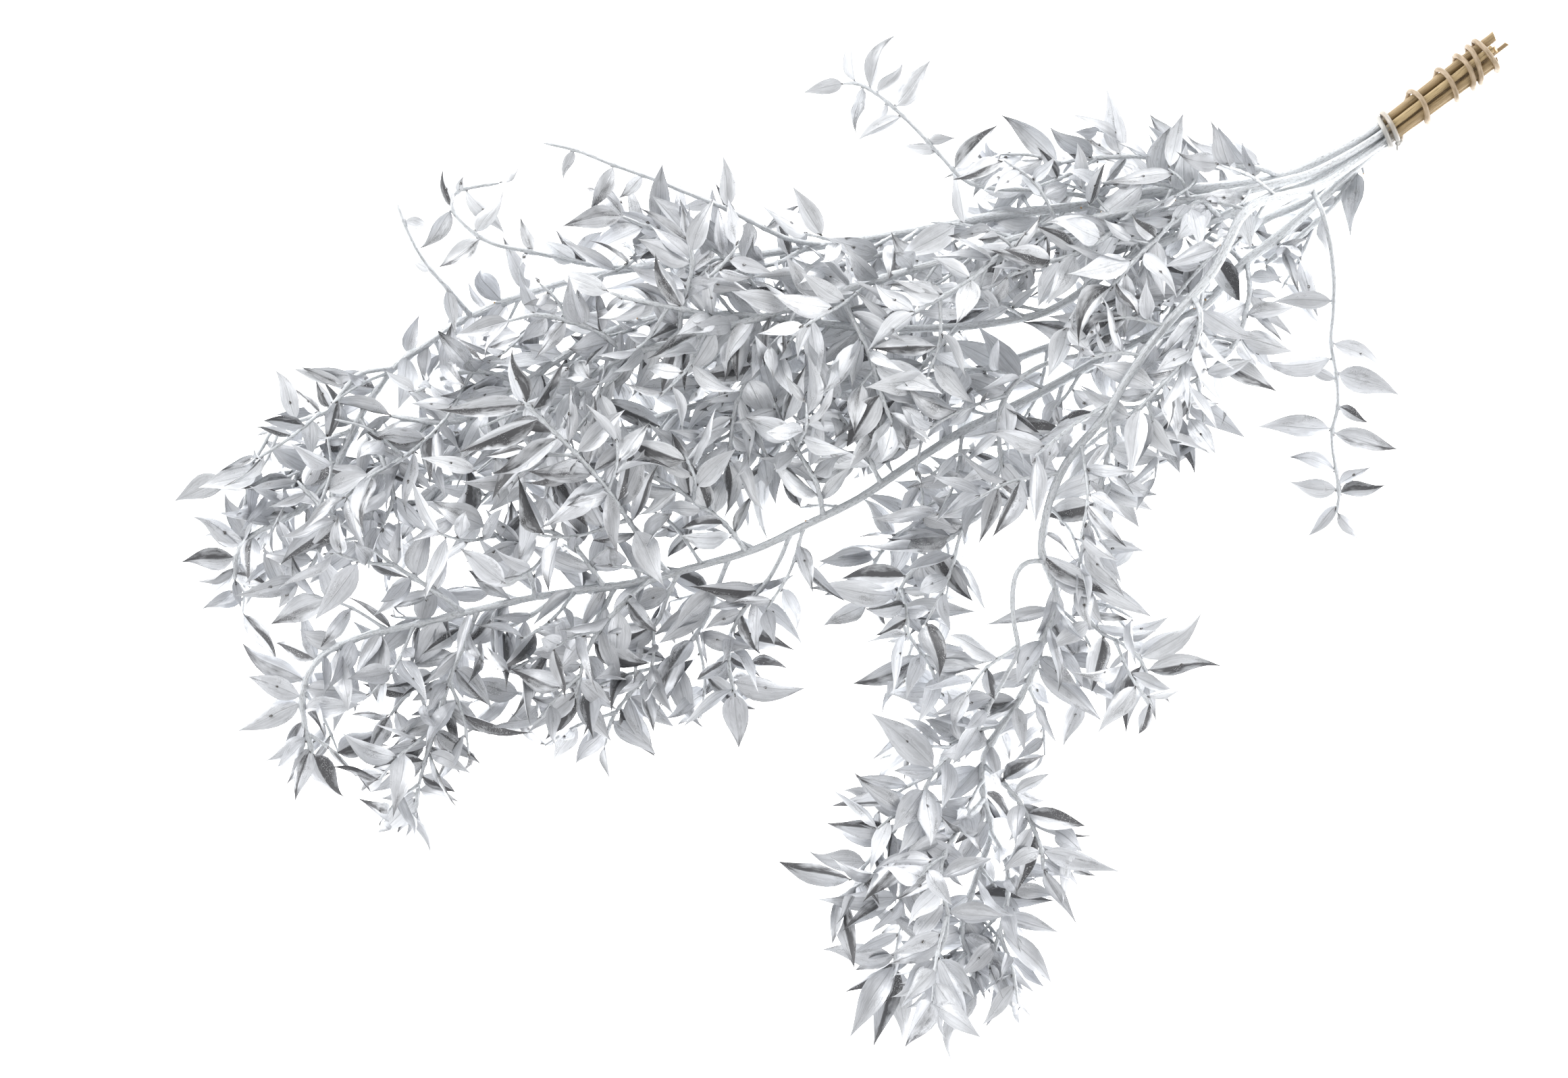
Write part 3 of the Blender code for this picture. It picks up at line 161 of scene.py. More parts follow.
stem("stem_low", 1.9, 1.1, -5, [
    (249, 187, 13), (222, 174, 20), (198, 160, 26), (170, 143, 29), (145, 126, 30), (120, 112, 30),
    (95, 102, 30), (60, 91, 30), (25, 84, 30), (-10, 81, 31), (-45, 80, 32), (-75, 76, 32), (-105, 66, 32),
    (-132, 52, 32), (-158, 40, 30), (-182, 36, 28), (-205, 38, 26), (-217, 27, 24), (-226, 12, 22)],
    bare=0.6)
print(len(STEMS), "stems, with", sum(len(made["leaves"]) for made in STEMS.values()), "blades picked by hand")

# %% Sprays that stand clear of the mass, from the right round to the left
branch("twig_hanging_right", "stem_drooping", [
    (243, 190, 40), (249, 174, 52), (253, 158, 50), (255, 142, 46), (255, 125, 42), (254, 108, 38),
    (257, 92, 34), (258, 76, 31), (255, 60, 28), (257, 44, 26), (259, 30, 25), (258, 20, 24)],
    [(254, 129, 222, 131), (254, 101, 217, 97), (256, 109, 285, 92), (257, 94, 291, 82), (256, 88, 238, 100),
     (258, 75, 275, 66), (254, 64, 214, 66), (256, 61, 289, 51), (258, 43, 232, 50), (258, 31, 232, 33),
     (259, 33, 276, 45), (260, 30, 284, 34), (257, 24, 243, 7), (259, 20, 272, 4), (259, 24, 285, 14)],
    bare=0.9, spacing=30)
branch("twig_top_arc", "stem_upper_arc", [
    (228, 194, 36), (214, 199, 52), (195, 200, 58), (172, 201, 62), (150, 204, 64), (130, 203, 63),
    (113, 201, 61), (102, 195, 59), (94, 188, 58)],
    [(112, 201, 83, 229), (142, 204, 136, 241), (177, 202, 157, 226), (201, 201, 176, 210),
     (215, 199, 201, 214), (124, 202, 112, 209)], bare=0.2, spacing=20)
branch("twig_top_spray", "stem_upper_arc", [
    (140, 182, 56), (120, 184, 68), (98, 186, 74), (76, 187, 78), (62, 191, 80), (50, 203, 81), (40, 214, 81),
    (28, 226, 80), (16, 236, 78), (7, 241, 76), (0, 241, 75)],
    [(6, 242, 3, 269), (14, 239, 22, 268), (17, 236, 33, 251), (28, 229, 45, 254), (9, 240, 3, 215),
     (22, 231, 11, 216), (30, 225, 5, 211), (0, 241, -22, 237), (42, 211, 58, 213), (47, 205, 29, 209),
     (57, 196, 79, 221), (65, 189, 83, 203)], bare=0.95, spacing=30)
branch("twig_upper_left", "stem_upper_arc", [
    (-12, 158, 56), (-28, 161, 64), (-42, 167, 70), (-60, 176, 76), (-80, 184, 80), (-100, 192, 82),
    (-120, 199, 84), (-138, 206, 84), (-155, 210, 84)],
    [(-60, 177, -62, 206), (-118, 199, -131, 174), (-103, 193, -116, 181), (-139, 206, -147, 191),
     (-69, 180, -86, 176), (-50, 171, -52, 146), (-42, 167, -22, 180)], bare=0.95, spacing=40)
branch("twig_left_fork", "stem_upper_arc", [
    (-108, 147, 50), (-130, 148, 60), (-150, 152, 66), (-165, 155, 70), (-180, 158, 72), (-190, 163, 72),
    (-198, 170, 72), (-203, 177, 70), (-201, 185, 68), (-192, 188, 66), (-179, 190, 64)],
    [(-161, 154, -168, 173), (-187, 161, -209, 145), (-191, 164, -174, 186), (-203, 176, -219, 154),
     (-204, 177, -209, 198), (-201, 185, -197, 194), (-179, 190, -167, 198), (-197, 187, -176, 163),
     (-163, 155, -168, 147), (-133, 148, -151, 166), (-138, 149, -159, 162)], bare=0.95, spacing=40)
branch("twig_left_bare", "stem_upper_arc", [
    (-194, 123, 42), (-204, 134, 52), (-214, 145, 56), (-221, 155, 58), (-227, 167, 58), (-232, 180, 56)],
    [(-229, 171, -213, 167), (-214, 145, -226, 152), (-206, 136, -202, 112)], bare=0.95, spacing=40)
branch("twig_left_high", "stem_upper_arc", [
    (-235, 95, 38), (-243, 94, 44), (-253, 91, 47), (-261, 82, 47), (-268, 73, 45), (-282, 68, 42),
    (-297, 63, 39), (-302, 56, 37), (-307, 48, 35), (-316, 41, 33), (-322, 38, 32)],
    [(-253, 91, -287, 93), (-285, 67, -293, 95), (-268, 74, -275, 90), (-301, 58, -282, 52)],
    bare=0.25, spacing=17)
print(len(BRANCHES), "twigs so far")

# %% Lower left, off the long lower stem, and last a spray that rises over the mass, nearest to the eye
branch("twig_lower_left_1", "stem_long_lower", [
    (-191, -31, 38), (-196, -44, 35), (-203, -60, 30), (-209, -78, 25), (-214, -94, 21), (-219, -110, 17),
    (-223, -125, 14), (-224, -137, 12)],
    [(-224, -133, -235, -149, 0), (-223, -137, -220, -150), (-224, -128, -244, -130),
     (-223, -125, -200, -132), (-220, -118, -203, -127), (-220, -111, -249, -114), (-218, -106, -194, -117),
     (-214, -94, -188, -112), (-212, -88, -238, -99), (-209, -80, -184, -96), (-203, -60, -180, -82),
     (-206, -67, -226, -78)],
    bare=0.2, spacing=16)
branch("twig_lower_left_2", "stem_long_lower", [
    (-148, -23, 42), (-165, -35, 34), (-183, -43, 29), (-198, -51, 26), (-212, -62, 24), (-226, -73, 22),
    (-237, -86, 21)],
    [(-237, -86, -252, -110), (-165, -35, -172, -60), (-178, -41, -177, -74), (-228, -75, -238, -60)],
    bare=0.3)
branch("twig_lower_left_3", "stem_long_lower", [
    (-118, -19, 44), (-126, -32, 38), (-136, -46, 33), (-147, -60, 29), (-157, -74, 26), (-162, -88, 24)],
    [(-160, -80, -180, -97), (-162, -88, -167, -104), (-158, -76, -148, -94), (-150, -64, -180, -62)],
     bare=0.2)
branch("twig_lower_left_4", "stem_long_lower", [
    (-100, -15, 46), (-114, -27, 52), (-126, -40, 54), (-134, -54, 52), (-138, -70, 48), (-140, -80, 45)],
    [(-138, -72, -155, -99), (-130, -46, -103, -63), (-139, -78, -120, -100), (-137, -66, -117, -84),
     (-134, -55, -166, -50)], bare=0.3)
branch("twig_lower_left_5", "stem_long_lower", [
    (-60, -4, 50), (-66, -20, 42), (-72, -36, 36), (-82, -50, 32), (-96, -60, 29), (-110, -73, 27),
    (-121, -88, 25), (-125, -102, 24)],
    [(-121, -89, -97, -107), (-112, -76, -88, -92), (-90, -56, -77, -96), (-125, -102, -123, -120),
     (-100, -64, -76, -58), (-68, -28, -98, -47), (-76, -42, -45, -52)], bare=0.25)
branch("twig_lower_left_6", "stem_long_lower", [
    (-27, 9, 53), (-33, -4, 48), (-40, -16, 44), (-50, -28, 40), (-58, -42, 36), (-60, -58, 32),
    (-57, -74, 29)],
    [(-47, -25, -20, -50), (-57, -44, -24, -52), (-58, -68, -20, -74), (-57, -73, -55, -104),
     (-56, -74, -33, -108), (-42, -19, -24, -13), (-44, -21, -82, -19), (-60, -55, -41, -66),
     (-52, -31, -74, -40)], bare=0.45)
branch("twig_inner_left", "stem_long_lower", [
    (-197, -32, 38), (-210, -23, 48), (-222, -15, 52), (-236, -6, 54), (-248, 4, 54), (-262, 15, 52),
    (-275, 26, 50), (-284, 36, 48)],
    [(-222, -14, -214, 18), (-224, -13, -245, -36), (-212, -21, -205, -4), (-250, 5, -278, -17),
     (-262, 15, -292, 5), (-280, 30, -299, 22)], bare=0.2)
branch("twig_foreground", "stem_long_lower", [
    (-92, -12, 47), (-102, 2, 66), (-113, 18, 84), (-124, 34, 98), (-138, 50, 108), (-151, 63, 114),
    (-164, 76, 118)],
    [(-162, 74, -210, 71), (-156, 68, -199, 50), (-163, 75, -174, 103), (-138, 50, -112, 72),
     (-146, 58, -178, 35), (-124, 34, -113, 52), (-122, 31, -117, -2), (-108, 12, -92, -20),
     (-130, 41, -104, 58), (-136, 48, -164, 33), (-160, 72, -143, 98), (-126, 37, -158, 12)],
    bare=0.3, spacing=15)
print(len(BRANCHES), "twigs so far")

# %% Lower right, off the drooping stem
branch("twig_lower_right_1", "stem_drooping", [
    (103, -7, 66), (95, -6, 73), (89, -12, 74), (87, -24, 71), (88, -38, 66), (90, -52, 61), (84, -65, 56),
    (77, -78, 52), (68, -94, 49), (57, -105, 46), (47, -115, 44), (41, -127, 42), (34, -138, 40),
    (22, -150, 37), (13, -162, 34), (5, -172, 31)],
    [(47, -114, 15, -82), (32, -141, 5, -115), (26, -147, -10, -141), (13, -162, -20, -161),
     (5, -172, -35, -164), (8, -170, 22, -185), (38, -131, -8, -132), (20, -152, 40, -160),
     (70, -92, 46, -87), (62, -100, 56, -72)], bare=0.5, spacing=15)
branch("twig_lower_right_2", "twig_lower_right_1", [
    (41, -127, 42), (40, -142, 47), (34, -158, 43), (30, -175, 37), (31, -192, 31), (28, -206, 25),
    (27, -218, 20)],
    [(28, -212, -13, -207), (27, -214, 0, -232), (28, -217, 17, -261), (27, -218, 33, -259, 0),
     (27, -216, 6, -258), (30, -180, -16, -181), (31, -195, 12, -186), (31, -192, 52, -210),
     (38, -148, 58, -172), (30, -200, 2, -211)], bare=0.15)
branch("twig_lower_right_3", "stem_drooping", [
    (73, -112, 30), (82, -120, 38), (91, -130, 42), (98, -143, 43), (103, -156, 41), (104, -166, 38)],
    [(93, -131, 127, -155), (103, -156, 146, -166), (104, -166, 121, -198), (100, -148, 90, -178),
     (103, -160, 124, -175), (88, -126, 108, -116), (96, -138, 86, -152)], bare=0.2)
branch("twig_lower_right_4", "stem_drooping", [
    (77, -146, 24), (84, -160, 31), (86, -175, 32), (84, -190, 29), (80, -205, 25), (76, -218, 21)],
    [(84, -190, 113, -200), (82, -200, 111, -224), (79, -208, 96, -230), (76, -218, 90, -241),
     (77, -214, 99, -246), (86, -176, 111, -180), (80, -205, 60, -222)], bare=0.2)
branch("twig_lower_right_5", "stem_drooping", [
    (74, -130, 27), (62, -142, 42), (53, -156, 50), (50, -172, 52), (54, -188, 49), (52, -204, 44),
    (46, -216, 38)],
    [(52, -158, 30, -178), (50, -170, 78, -160), (54, -188, 84, -192), (53, -200, 22, -190),
     (46, -216, 50, -246), (48, -212, 70, -234), (48, -213, 28, -236)], bare=0.15)
branch("twig_right_spray", "stem_drooping", [
    (136, 72, 97), (137, 58, 92), (134, 42, 86), (130, 25, 80), (125, 8, 74), (122, -8, 67), (123, -22, 60),
    (126, -34, 54), (134, -43, 50), (144, -48, 47), (153, -55, 43), (158, -64, 39)],
    [(154, -55, 190, -38), (158, -61, 198, -57), (158, -64, 171, -80), (158, -64, 162, -103),
     (156, -62, 134, -90), (155, -58, 143, -95), (122, -10, 160, -35), (125, 2, 156, 0),
     (131, 33, 137, 6), (134, 42, 160, 25), (132, 34, 160, 20), (123, -20, 134, -40), (128, -37, 105, -52),
     (136, 52, 167, 46)], bare=0.2, spacing=19)
branch("twig_right_edge", "stem_long_lower", [
    (210, 150, 35), (211, 136, 48), (208, 122, 58), (204, 110, 64), (194, 97, 68), (178, 86, 70),
    (160, 78, 70), (143, 67, 68), (126, 54, 64), (111, 41, 60)],
    [(195, 97, 225, 81), (174, 83, 207, 57), (162, 79, 185, 41), (158, 77, 175, 40), (142, 66, 168, 55),
     (205, 112, 233, 103), (208, 122, 234, 126), (206, 115, 224, 90), (211, 134, 226, 132),
     (186, 91, 212, 98)], bare=0.1)
branch("twig_arc_down", "stem_long_lower", [
    (148, 106, 48), (130, 102, 62), (112, 99, 68), (97, 93, 72), (87, 85, 73), (81, 73, 73), (80, 58, 71),
    (81, 45, 67), (77, 32, 63), (72, 20, 59), (62, 12, 55), (50, 2, 51), (38, -8, 47), (30, -19, 43),
    (28, -32, 39), (35, -46, 35), (45, -60, 31), (50, -74, 28)],
    [(29, -24, -20, -18), (28, -32, 70, -31), (41, -55, 4, -70), (41, -54, 83, -59), (48, -2, 66, -28),
     (42, -5, 57, -20), (50, -74, 20, -74), (50, -72, 62, -48), (50, -74, 46, -92), (80, 62, 116, 62),
     (72, 22, 45, 45), (35, -46, 22, -48), (64, 14, 40, 18), (30, -20, 50, -20)], bare=0.3)
branch("twig_under_arc", "stem_long_lower", [
    (114, 89, 53), (110, 74, 44), (104, 60, 39), (94, 50, 35), (82, 42, 33), (70, 34, 31), (56, 25, 29),
    (42, 16, 27), (28, 8, 25), (17, -5, 23), (13, -18, 22), (13, -28, 21)],
    [(18, -5, -14, -5), (13, -27, -12, -38), (56, 25, 24, 36), (94, 50, 118, 66), (28, 8, 12, 30),
     (70, 34, 95, 22)], bare=0.25)
branch("twig_beside_droop", "stem_drooping", [
    (178, 130, 100), (182, 122, 108), (181, 110, 110), (176, 99, 108), (167, 89, 104), (157, 79, 99),
    (147, 68, 94)],
    [(160, 82, 126, 96), (147, 68, 120, 84), (150, 72, 168, 46)], bare=0.35, spacing=15)
print(len(BRANCHES), "twigs so far")

# %% The mass between the bundle and the middle
branch("twig_near_tie_1", "stem_middle",
       [(196, 174, 45), (184, 182, 58), (168, 189, 64), (150, 191, 67), (134, 190, 68)])
branch("twig_near_tie_2", "stem_high",
       [(185, 182, 64), (172, 172, 82), (160, 160, 92), (148, 148, 97), (138, 136, 99)])
branch("twig_near_tie_3", "stem_low",
       [(198, 160, 26), (191, 149, 36), (181, 139, 38), (171, 126, 37), (168, 112, 37)])
branch("twig_near_tie_4", "stem_middle", [(160, 157, 53), (152, 142, 64), (147, 128, 68), (141, 114, 68)])
branch("twig_near_tie_5", "stem_high",
       [(150, 176, 75), (135, 162, 92), (118, 152, 97), (100, 147, 98), (84, 141, 96)])
branch("twig_near_tie_6", "stem_upper_arc",
       [(185, 188, 48), (170, 194, 42), (154, 194, 35), (136, 189, 30), (118, 190, 28)])
branch("twig_near_tie_7", "stem_low", [(170, 143, 29), (160, 128, 20), (148, 117, 15), (136, 113, 15)])
branch("twig_near_tie_8", "stem_long_lower",
       [(208, 149, 35), (200, 158, 30), (186, 165, 26), (170, 168, 23), (152, 166, 21)])
branch("twig_near_tie_9", "stem_upper_arc",
       [(150, 184, 55), (135, 172, 42), (120, 162, 34), (104, 156, 30), (88, 150, 27)])
branch("twig_middle_1", "stem_upper_arc",
       [(110, 177, 59), (95, 168, 48), (80, 160, 42), (62, 150, 37), (46, 140, 33)])
branch("twig_middle_2", "stem_middle",
       [(90, 120, 57), (75, 129, 48), (60, 135, 44), (42, 137, 42), (25, 133, 40)])
branch("twig_middle_3", "stem_middle",
       [(60, 116, 57), (48, 104, 66), (38, 92, 70), (28, 80, 72), (20, 66, 73)])
branch("twig_middle_4", "stem_high",
       [(95, 163, 86), (80, 152, 100), (66, 140, 107), (50, 130, 109), (36, 122, 108)])
branch("twig_middle_5", "stem_low", [(60, 91, 30), (48, 78, 38), (36, 66, 42), (22, 56, 43), (8, 48, 43)])
branch("twig_middle_6", "stem_upper_arc",
       [(40, 167, 59), (28, 158, 70), (14, 151, 76), (0, 148, 78), (-16, 144, 77)])
branch("twig_middle_7", "stem_low", [(25, 84, 30), (12, 95, 22), (-2, 101, 19), (-18, 104, 19)])
branch("twig_middle_8", "stem_low", [(95, 102, 30), (84, 92, 22), (70, 82, 18), (56, 76, 16)])
branch("twig_middle_9", "stem_high",
       [(-2, 133, 90), (4, 119, 96), (10, 107, 98), (15, 94, 98), (19, 80, 96), (24, 66, 93)])
print(len(BRANCHES), "twigs so far")

# %% The mass from the middle to the left
branch("twig_centre_1", "stem_upper_arc",
       [(-40, 154, 54), (-52, 144, 44), (-66, 138, 38), (-82, 134, 34), (-98, 128, 32)])
branch("twig_centre_2", "stem_middle",
       [(-20, 118, 60), (-32, 106, 52), (-44, 95, 47), (-58, 88, 44), (-74, 86, 42)])
branch("twig_centre_3", "stem_low",
       [(-10, 81, 31), (-22, 68, 38), (-34, 54, 42), (-46, 42, 43), (-58, 32, 43), (-70, 26, 42)])
branch("twig_centre_4", "stem_high",
       [(-60, 115, 87), (-74, 122, 100), (-90, 125, 106), (-106, 128, 108), (-120, 132, 107)])
branch("twig_centre_5", "stem_high",
       [(-38, 121, 89), (-42, 107, 82), (-48, 93, 76), (-55, 78, 72), (-58, 62, 68), (-60, 46, 65)])
branch("twig_centre_6", "stem_long_lower",
       [(-10, 18, 54), (-14, 34, 66), (-22, 48, 76), (-30, 62, 83), (-36, 76, 88)])
branch("twig_centre_7", "stem_long_lower", [(20, 35, 56), (10, 52, 68), (0, 66, 78), (-8, 80, 86)])
branch("twig_centre_8", "stem_low", [(-45, 80, 32), (-58, 68, 25), (-72, 58, 21), (-88, 50, 19)])
branch("twig_centre_9", "stem_long_lower",
       [(-50, 0, 51), (-62, 14, 58), (-76, 24, 64), (-90, 34, 68), (-106, 40, 70)])
branch("twig_upper_1", "stem_upper_arc",
       [(-60, 151, 52), (-74, 159, 64), (-88, 163, 71), (-102, 167, 76), (-114, 172, 79)],
       [(-90, 163, -101, 192), (-102, 167, -131, 172), (-114, 172, -146, 168), (-84, 162, -112, 150)])
branch("twig_upper_2", "stem_high",
       [(-85, 108, 84), (-84, 122, 98), (-80, 136, 106), (-78, 148, 110), (-80, 158, 112)],
       [(-78, 146, -106, 160), (-79, 152, -64, 182), (-80, 158, -84, 176), (-80, 134, -112, 146)])
branch("twig_upper_3", "stem_upper_arc",
       [(-20, 157, 55), (-34, 149, 64), (-48, 147, 72), (-60, 150, 78), (-70, 157, 82)],
       [(-28, 150, -36, 173), (-22, 154, -26, 180), (-62, 151, -66, 178)])
branch("twig_left_1", "stem_high",
       [(-112, 101, 80), (-126, 112, 92), (-142, 118, 97), (-158, 121, 99), (-172, 118, 99)],
       [(-158, 121, -168, 145), (-142, 118, -160, 98), (-172, 118, -200, 110)])
branch("twig_left_2", "stem_middle",
       [(-112, 117, 60), (-124, 104, 50), (-138, 92, 45), (-154, 84, 42), (-170, 76, 40)])
branch("twig_left_3", "stem_high",
       [(-130, 90, 76), (-140, 74, 86), (-147, 58, 88), (-150, 42, 86), (-154, 28, 84)])
branch("twig_left_4", "stem_low",
       [(-105, 66, 32), (-116, 50, 24), (-128, 36, 20), (-142, 24, 18), (-156, 16, 18)])
branch("twig_left_5", "stem_long_lower",
       [(-125, -19, 43), (-134, -5, 52), (-144, 6, 58), (-156, 10, 61), (-168, 4, 61)],
       [(-168, 4, -197, -6), (-160, 9, -176, -18), (-150, 9, -162, 32)])
branch("twig_left_6", "stem_middle",
       [(-168, 86, 55), (-184, 92, 64), (-198, 92, 67), (-210, 88, 67), (-222, 82, 65)],
       [(-205, 90, -202, 118), (-222, 82, -238, 92)])
branch("twig_left_7", "stem_low", [(-158, 40, 30), (-172, 50, 38), (-186, 58, 41), (-200, 62, 41)])
branch("twig_left_8", "stem_long_lower",
       [(-160, -25, 41), (-164, -10, 50), (-174, 2, 55), (-186, 12, 57), (-200, 18, 57)],
       [(-186, 12, -216, 23), (-200, 18, -222, 6), (-176, 4, -160, 22)])
branch("twig_left_9", "stem_long_lower", [(-85, -10, 47), (-92, -24, 42), (-98, -38, 37), (-110, -48, 33)])
branch("twig_far_left_1", "stem_middle",
       [(-205, 67, 48), (-218, 56, 54), (-232, 46, 57), (-246, 38, 58), (-258, 28, 57)],
       [(-232, 46, -212, 30), (-246, 38, -270, 42)])
branch("twig_far_left_2", "stem_low",
       [(-205, 38, 26), (-220, 44, 22), (-236, 46, 20), (-252, 44, 20), (-268, 46, 20)])
branch("twig_far_left_3", "stem_upper_arc",
       [(-256, 62, 34), (-270, 58, 25), (-282, 50, 21), (-290, 38, 20), (-294, 28, 20)],
       [(-288, 42, -302, 34), (-276, 55, -297, 52)])
branch("twig_far_left_4", "stem_upper_arc",
       [(-252, 70, 34), (-244, 56, 44), (-238, 42, 49), (-234, 28, 51), (-240, 12, 50)])
branch("twig_far_left_5", "stem_upper_arc",
       [(-268, 38, 32), (-266, 22, 38), (-270, 8, 40), (-276, -6, 39), (-284, -16, 37)],
       [(-276, -6, -306, -2), (-284, -16, -296, -30)])
print(len(BRANCHES), "twigs, with", sum(len(made["leaves"]) for made in BRANCHES), "blades picked by hand")

# %% [markdown]
# ## Curves through the points
#
# A Catmull-Rom curve passes through every point that it is given, so the given points stay exact. It is
# worked out for whole spans at once and then resampled at even steps. The CAD model keeps only the points of
# each curve that its straight facets need. The finer skin follows the full curve.

# %% Helpers for curves
ROUTE_STEP = 4.0
TAPER_POWER = 0.8


def unit(vector):
    """The vector over its own length."""
    return vector / np.linalg.norm(vector)


def smooth_curve(points, before=None):
    """Points every ROUTE_STEP along the uniform Catmull-Rom curve through the given ones."""
    p = np.asarray(points, float)
    before = 2 * p[0] - p[1] if before is None else before
    p = np.vstack([before, p, 2 * p[-1] - p[-2]])
    t = np.linspace(0, 1, 24, endpoint=False)[:, None]
    spans = []
    for a, b, c, d in zip(p[:-3], p[1:-2], p[2:-1], p[3:]):
        bend = (2 * a - 5 * b + 4 * c - d) * t**2 + (3 * b - a - 3 * c + d) * t**3
        spans.append(0.5 * (2 * b + (c - a) * t + bend))
    dense = np.vstack([*spans, p[-2:-1]])
    along = lengths(dense)
    even = np.linspace(0, along[-1], max(3, round(along[-1] / ROUTE_STEP) + 1))
    return resampled(dense, along, even)


def resampled(points, along, distances):
    """Points of the polyline at those distances along it."""
    return np.stack([np.interp(distances, along, points[:, k]) for k in range(3)], axis=1)


def simplified(points, tolerance):
    """The fewest of these points that keep within tolerance of the line, both ends among them."""
    start, end = points[0], points[-1]
    line = (end - start) / max(np.linalg.norm(end - start), 1e-9)
    offset = points - start
    away = np.linalg.norm(offset - np.outer(offset @ line, line), axis=1)
    worst = int(away.argmax())
    if away[worst] <= tolerance or len(points) < 3:
        return np.array([start, end])
    before, after = simplified(points[: worst + 1], tolerance), simplified(points[worst:], tolerance)
    return np.vstack([before[:-1], after])


def lengths(points):
    """Distance along the polyline at each of its points."""
    return np.concatenate([[0], np.cumsum(np.linalg.norm(np.diff(points, axis=0), axis=1))])


def point_at(route, distance):
    """The point of a route's polyline at that distance, and the direction there."""
    line, along = route["line"], route["along"]
    k = int(np.clip(np.searchsorted(along, distance) - 1, 0, len(line) - 2))
    step = line[k + 1] - line[k]
    share = (distance - along[k]) / np.linalg.norm(step)
    return line[k] + share * step, unit(step)


def nearest_on(route, x, y):
    """Distance along a route's polyline of the point nearest to (x, y), seen from above."""
    tries = np.linspace(0, route["along"][-1], 400)
    seen = resampled(route["line"], route["along"], tries)[:, :2]
    return float(tries[np.linalg.norm(seen - (x, y), axis=1).argmin()])


def radius_at(route, distance):
    """first + (last - first) * share of the length ^ TAPER_POWER, so it thins fastest near its root."""
    first, last = route["radii"]
    return first + (last - first) * (distance / route["along"][-1]) ** TAPER_POWER

# %% [markdown]
# ## The bundle and its band
#
# The cut ends are a round bundle: one stem in the middle and six packed round it, fanning out a little
# towards the cuts. A stretched band takes the shortest way round them, which is the overlap of all the half
# planes that just hold every stem. That gives both the band's path and how high the bundle lies.

# %% Sections of the bundle, and the band's path round them
BAND_RADIUS = 1.1
BAND_GAP = 0.7
BAND_LIFT = 0.15
# At each of these turns, how many mm along the bundle the band is from where the stems part
BAND_LAPS = (0.9, 1, 1.25, 1.5, 2, 2.25, 2.5, 3, 3.25, 3.5, 4, 4.25, 4.5, 5, 5.25, 5.5, 6, 6.25, 6.5, 7, 7.25,
             7.6)
BAND_PLACES = (6, 6.4, 4.2, 0.8, 10.1, 9, 5.2, 28.4, 30.6, 22.5, 47.3, 48.1, 43, 58.6, 60.4, 53.5, 67, 65,
               58.5, 71, 72.2, 71)
BAND_EASE = np.linspace(-0.12, 0.12, 7)


def band_support(facing, spread):
    """How far out the stems hold the band in each facing direction, with their ring that much wider."""
    support = np.full((len(spread), len(facing)), -np.inf)
    for name, (side, up) in ring_slots().items():
        radius = STEMS[name]["radii"][0] + BAND_GAP + BAND_RADIUS
        out = side * np.cos(facing) + up * np.sin(facing)
        support = np.maximum(support, spread[:, None] * out[None] + radius)
    return support


def band_reach(turn, spread):
    """Distance from the bundle's middle to a band drawn tight round the stems, in each direction of turn.
    The tight band is the overlap of the half planes that each just hold all the stems."""
    facing = np.radians(np.arange(0, 360, 5.0))
    cosine = np.cos(turn[:, None] - facing[None])
    held = band_support(facing, spread)
    return np.where(cosine > 0.2, held / np.maximum(cosine, 0.2), np.inf).min(axis=1)


def band_place(lap):
    """Points of the band's middle line at those laps, and the direction straight out from the bundle."""
    turn = lap * 2 * math.pi
    start, end = bundle_ends()
    place = np.mean([np.interp(lap + shift, BAND_LAPS, BAND_PLACES) for shift in BAND_EASE], axis=0)
    share = place / np.linalg.norm(start - end)
    reach = band_reach(turn, 1 + (BUNDLE_FAN - 1) * share)
    sideways = unit(np.cross((0, 0, 1.0), start - end))
    centre = end + share[:, None] * (start - end)
    out = np.cos(turn)[:, None] * sideways + np.sin(turn)[:, None] * np.array((0, 0, 1.0))
    return centre + reach[:, None] * out, out


def ring_slots():
    """Centre (sideways, up) of each stem's section: the first in the middle, the others packed round it."""
    names = list(STEMS)
    radius = {name: STEMS[name]["radii"][0] for name in names}
    slots = {names[0]: (0.0, 0.0)}
    angle = math.radians(RING_START_DEG)
    for k, name in enumerate(names[1:]):
        reach = radius[names[0]] + radius[name] + STEM_GAP
        if k:
            before = names[k]
            other = radius[names[0]] + radius[before] + STEM_GAP
            apart = radius[before] + radius[name] + STEM_GAP
            angle += math.acos((reach**2 + other**2 - apart**2) / (2 * reach * other))
        slots[name] = (reach * math.cos(angle), reach * math.sin(angle))
    return slots


def bundle_ends(side=0.0, up=0.0):
    """The two ends of the bundle's straight run, for a line that far sideways and up from its middle where
    the stems part. The middle is as high as makes the elastic band rest on the surface."""
    spread = np.array([BUNDLE_FAN, 1.0])
    below = band_support(np.array([1.5 * math.pi]), spread)[:, 0]
    height = below + BAND_RADIUS + BAND_LIFT + up * spread
    start, end = np.array((*BUNDLE_START, height[0])), np.array((*BUNDLE_END, height[1]))
    sideways = np.cross((end - start) * (1, 1, 0), (0, 0, 1.0))
    sideways *= side / np.linalg.norm(sideways)
    return start + BUNDLE_FAN * sideways, end + sideways


print("The middle of the bundle is", round(float(bundle_ends()[0][2]), 1), "mm over the surface")

# %% [markdown]
# ## Routes that stay clear of each other
#
# Real stems push each other aside. Here each route is eased up or down, past the part that the band holds,
# until it clears every one before it. The same code with the same numbers gives the CAD model's routes.

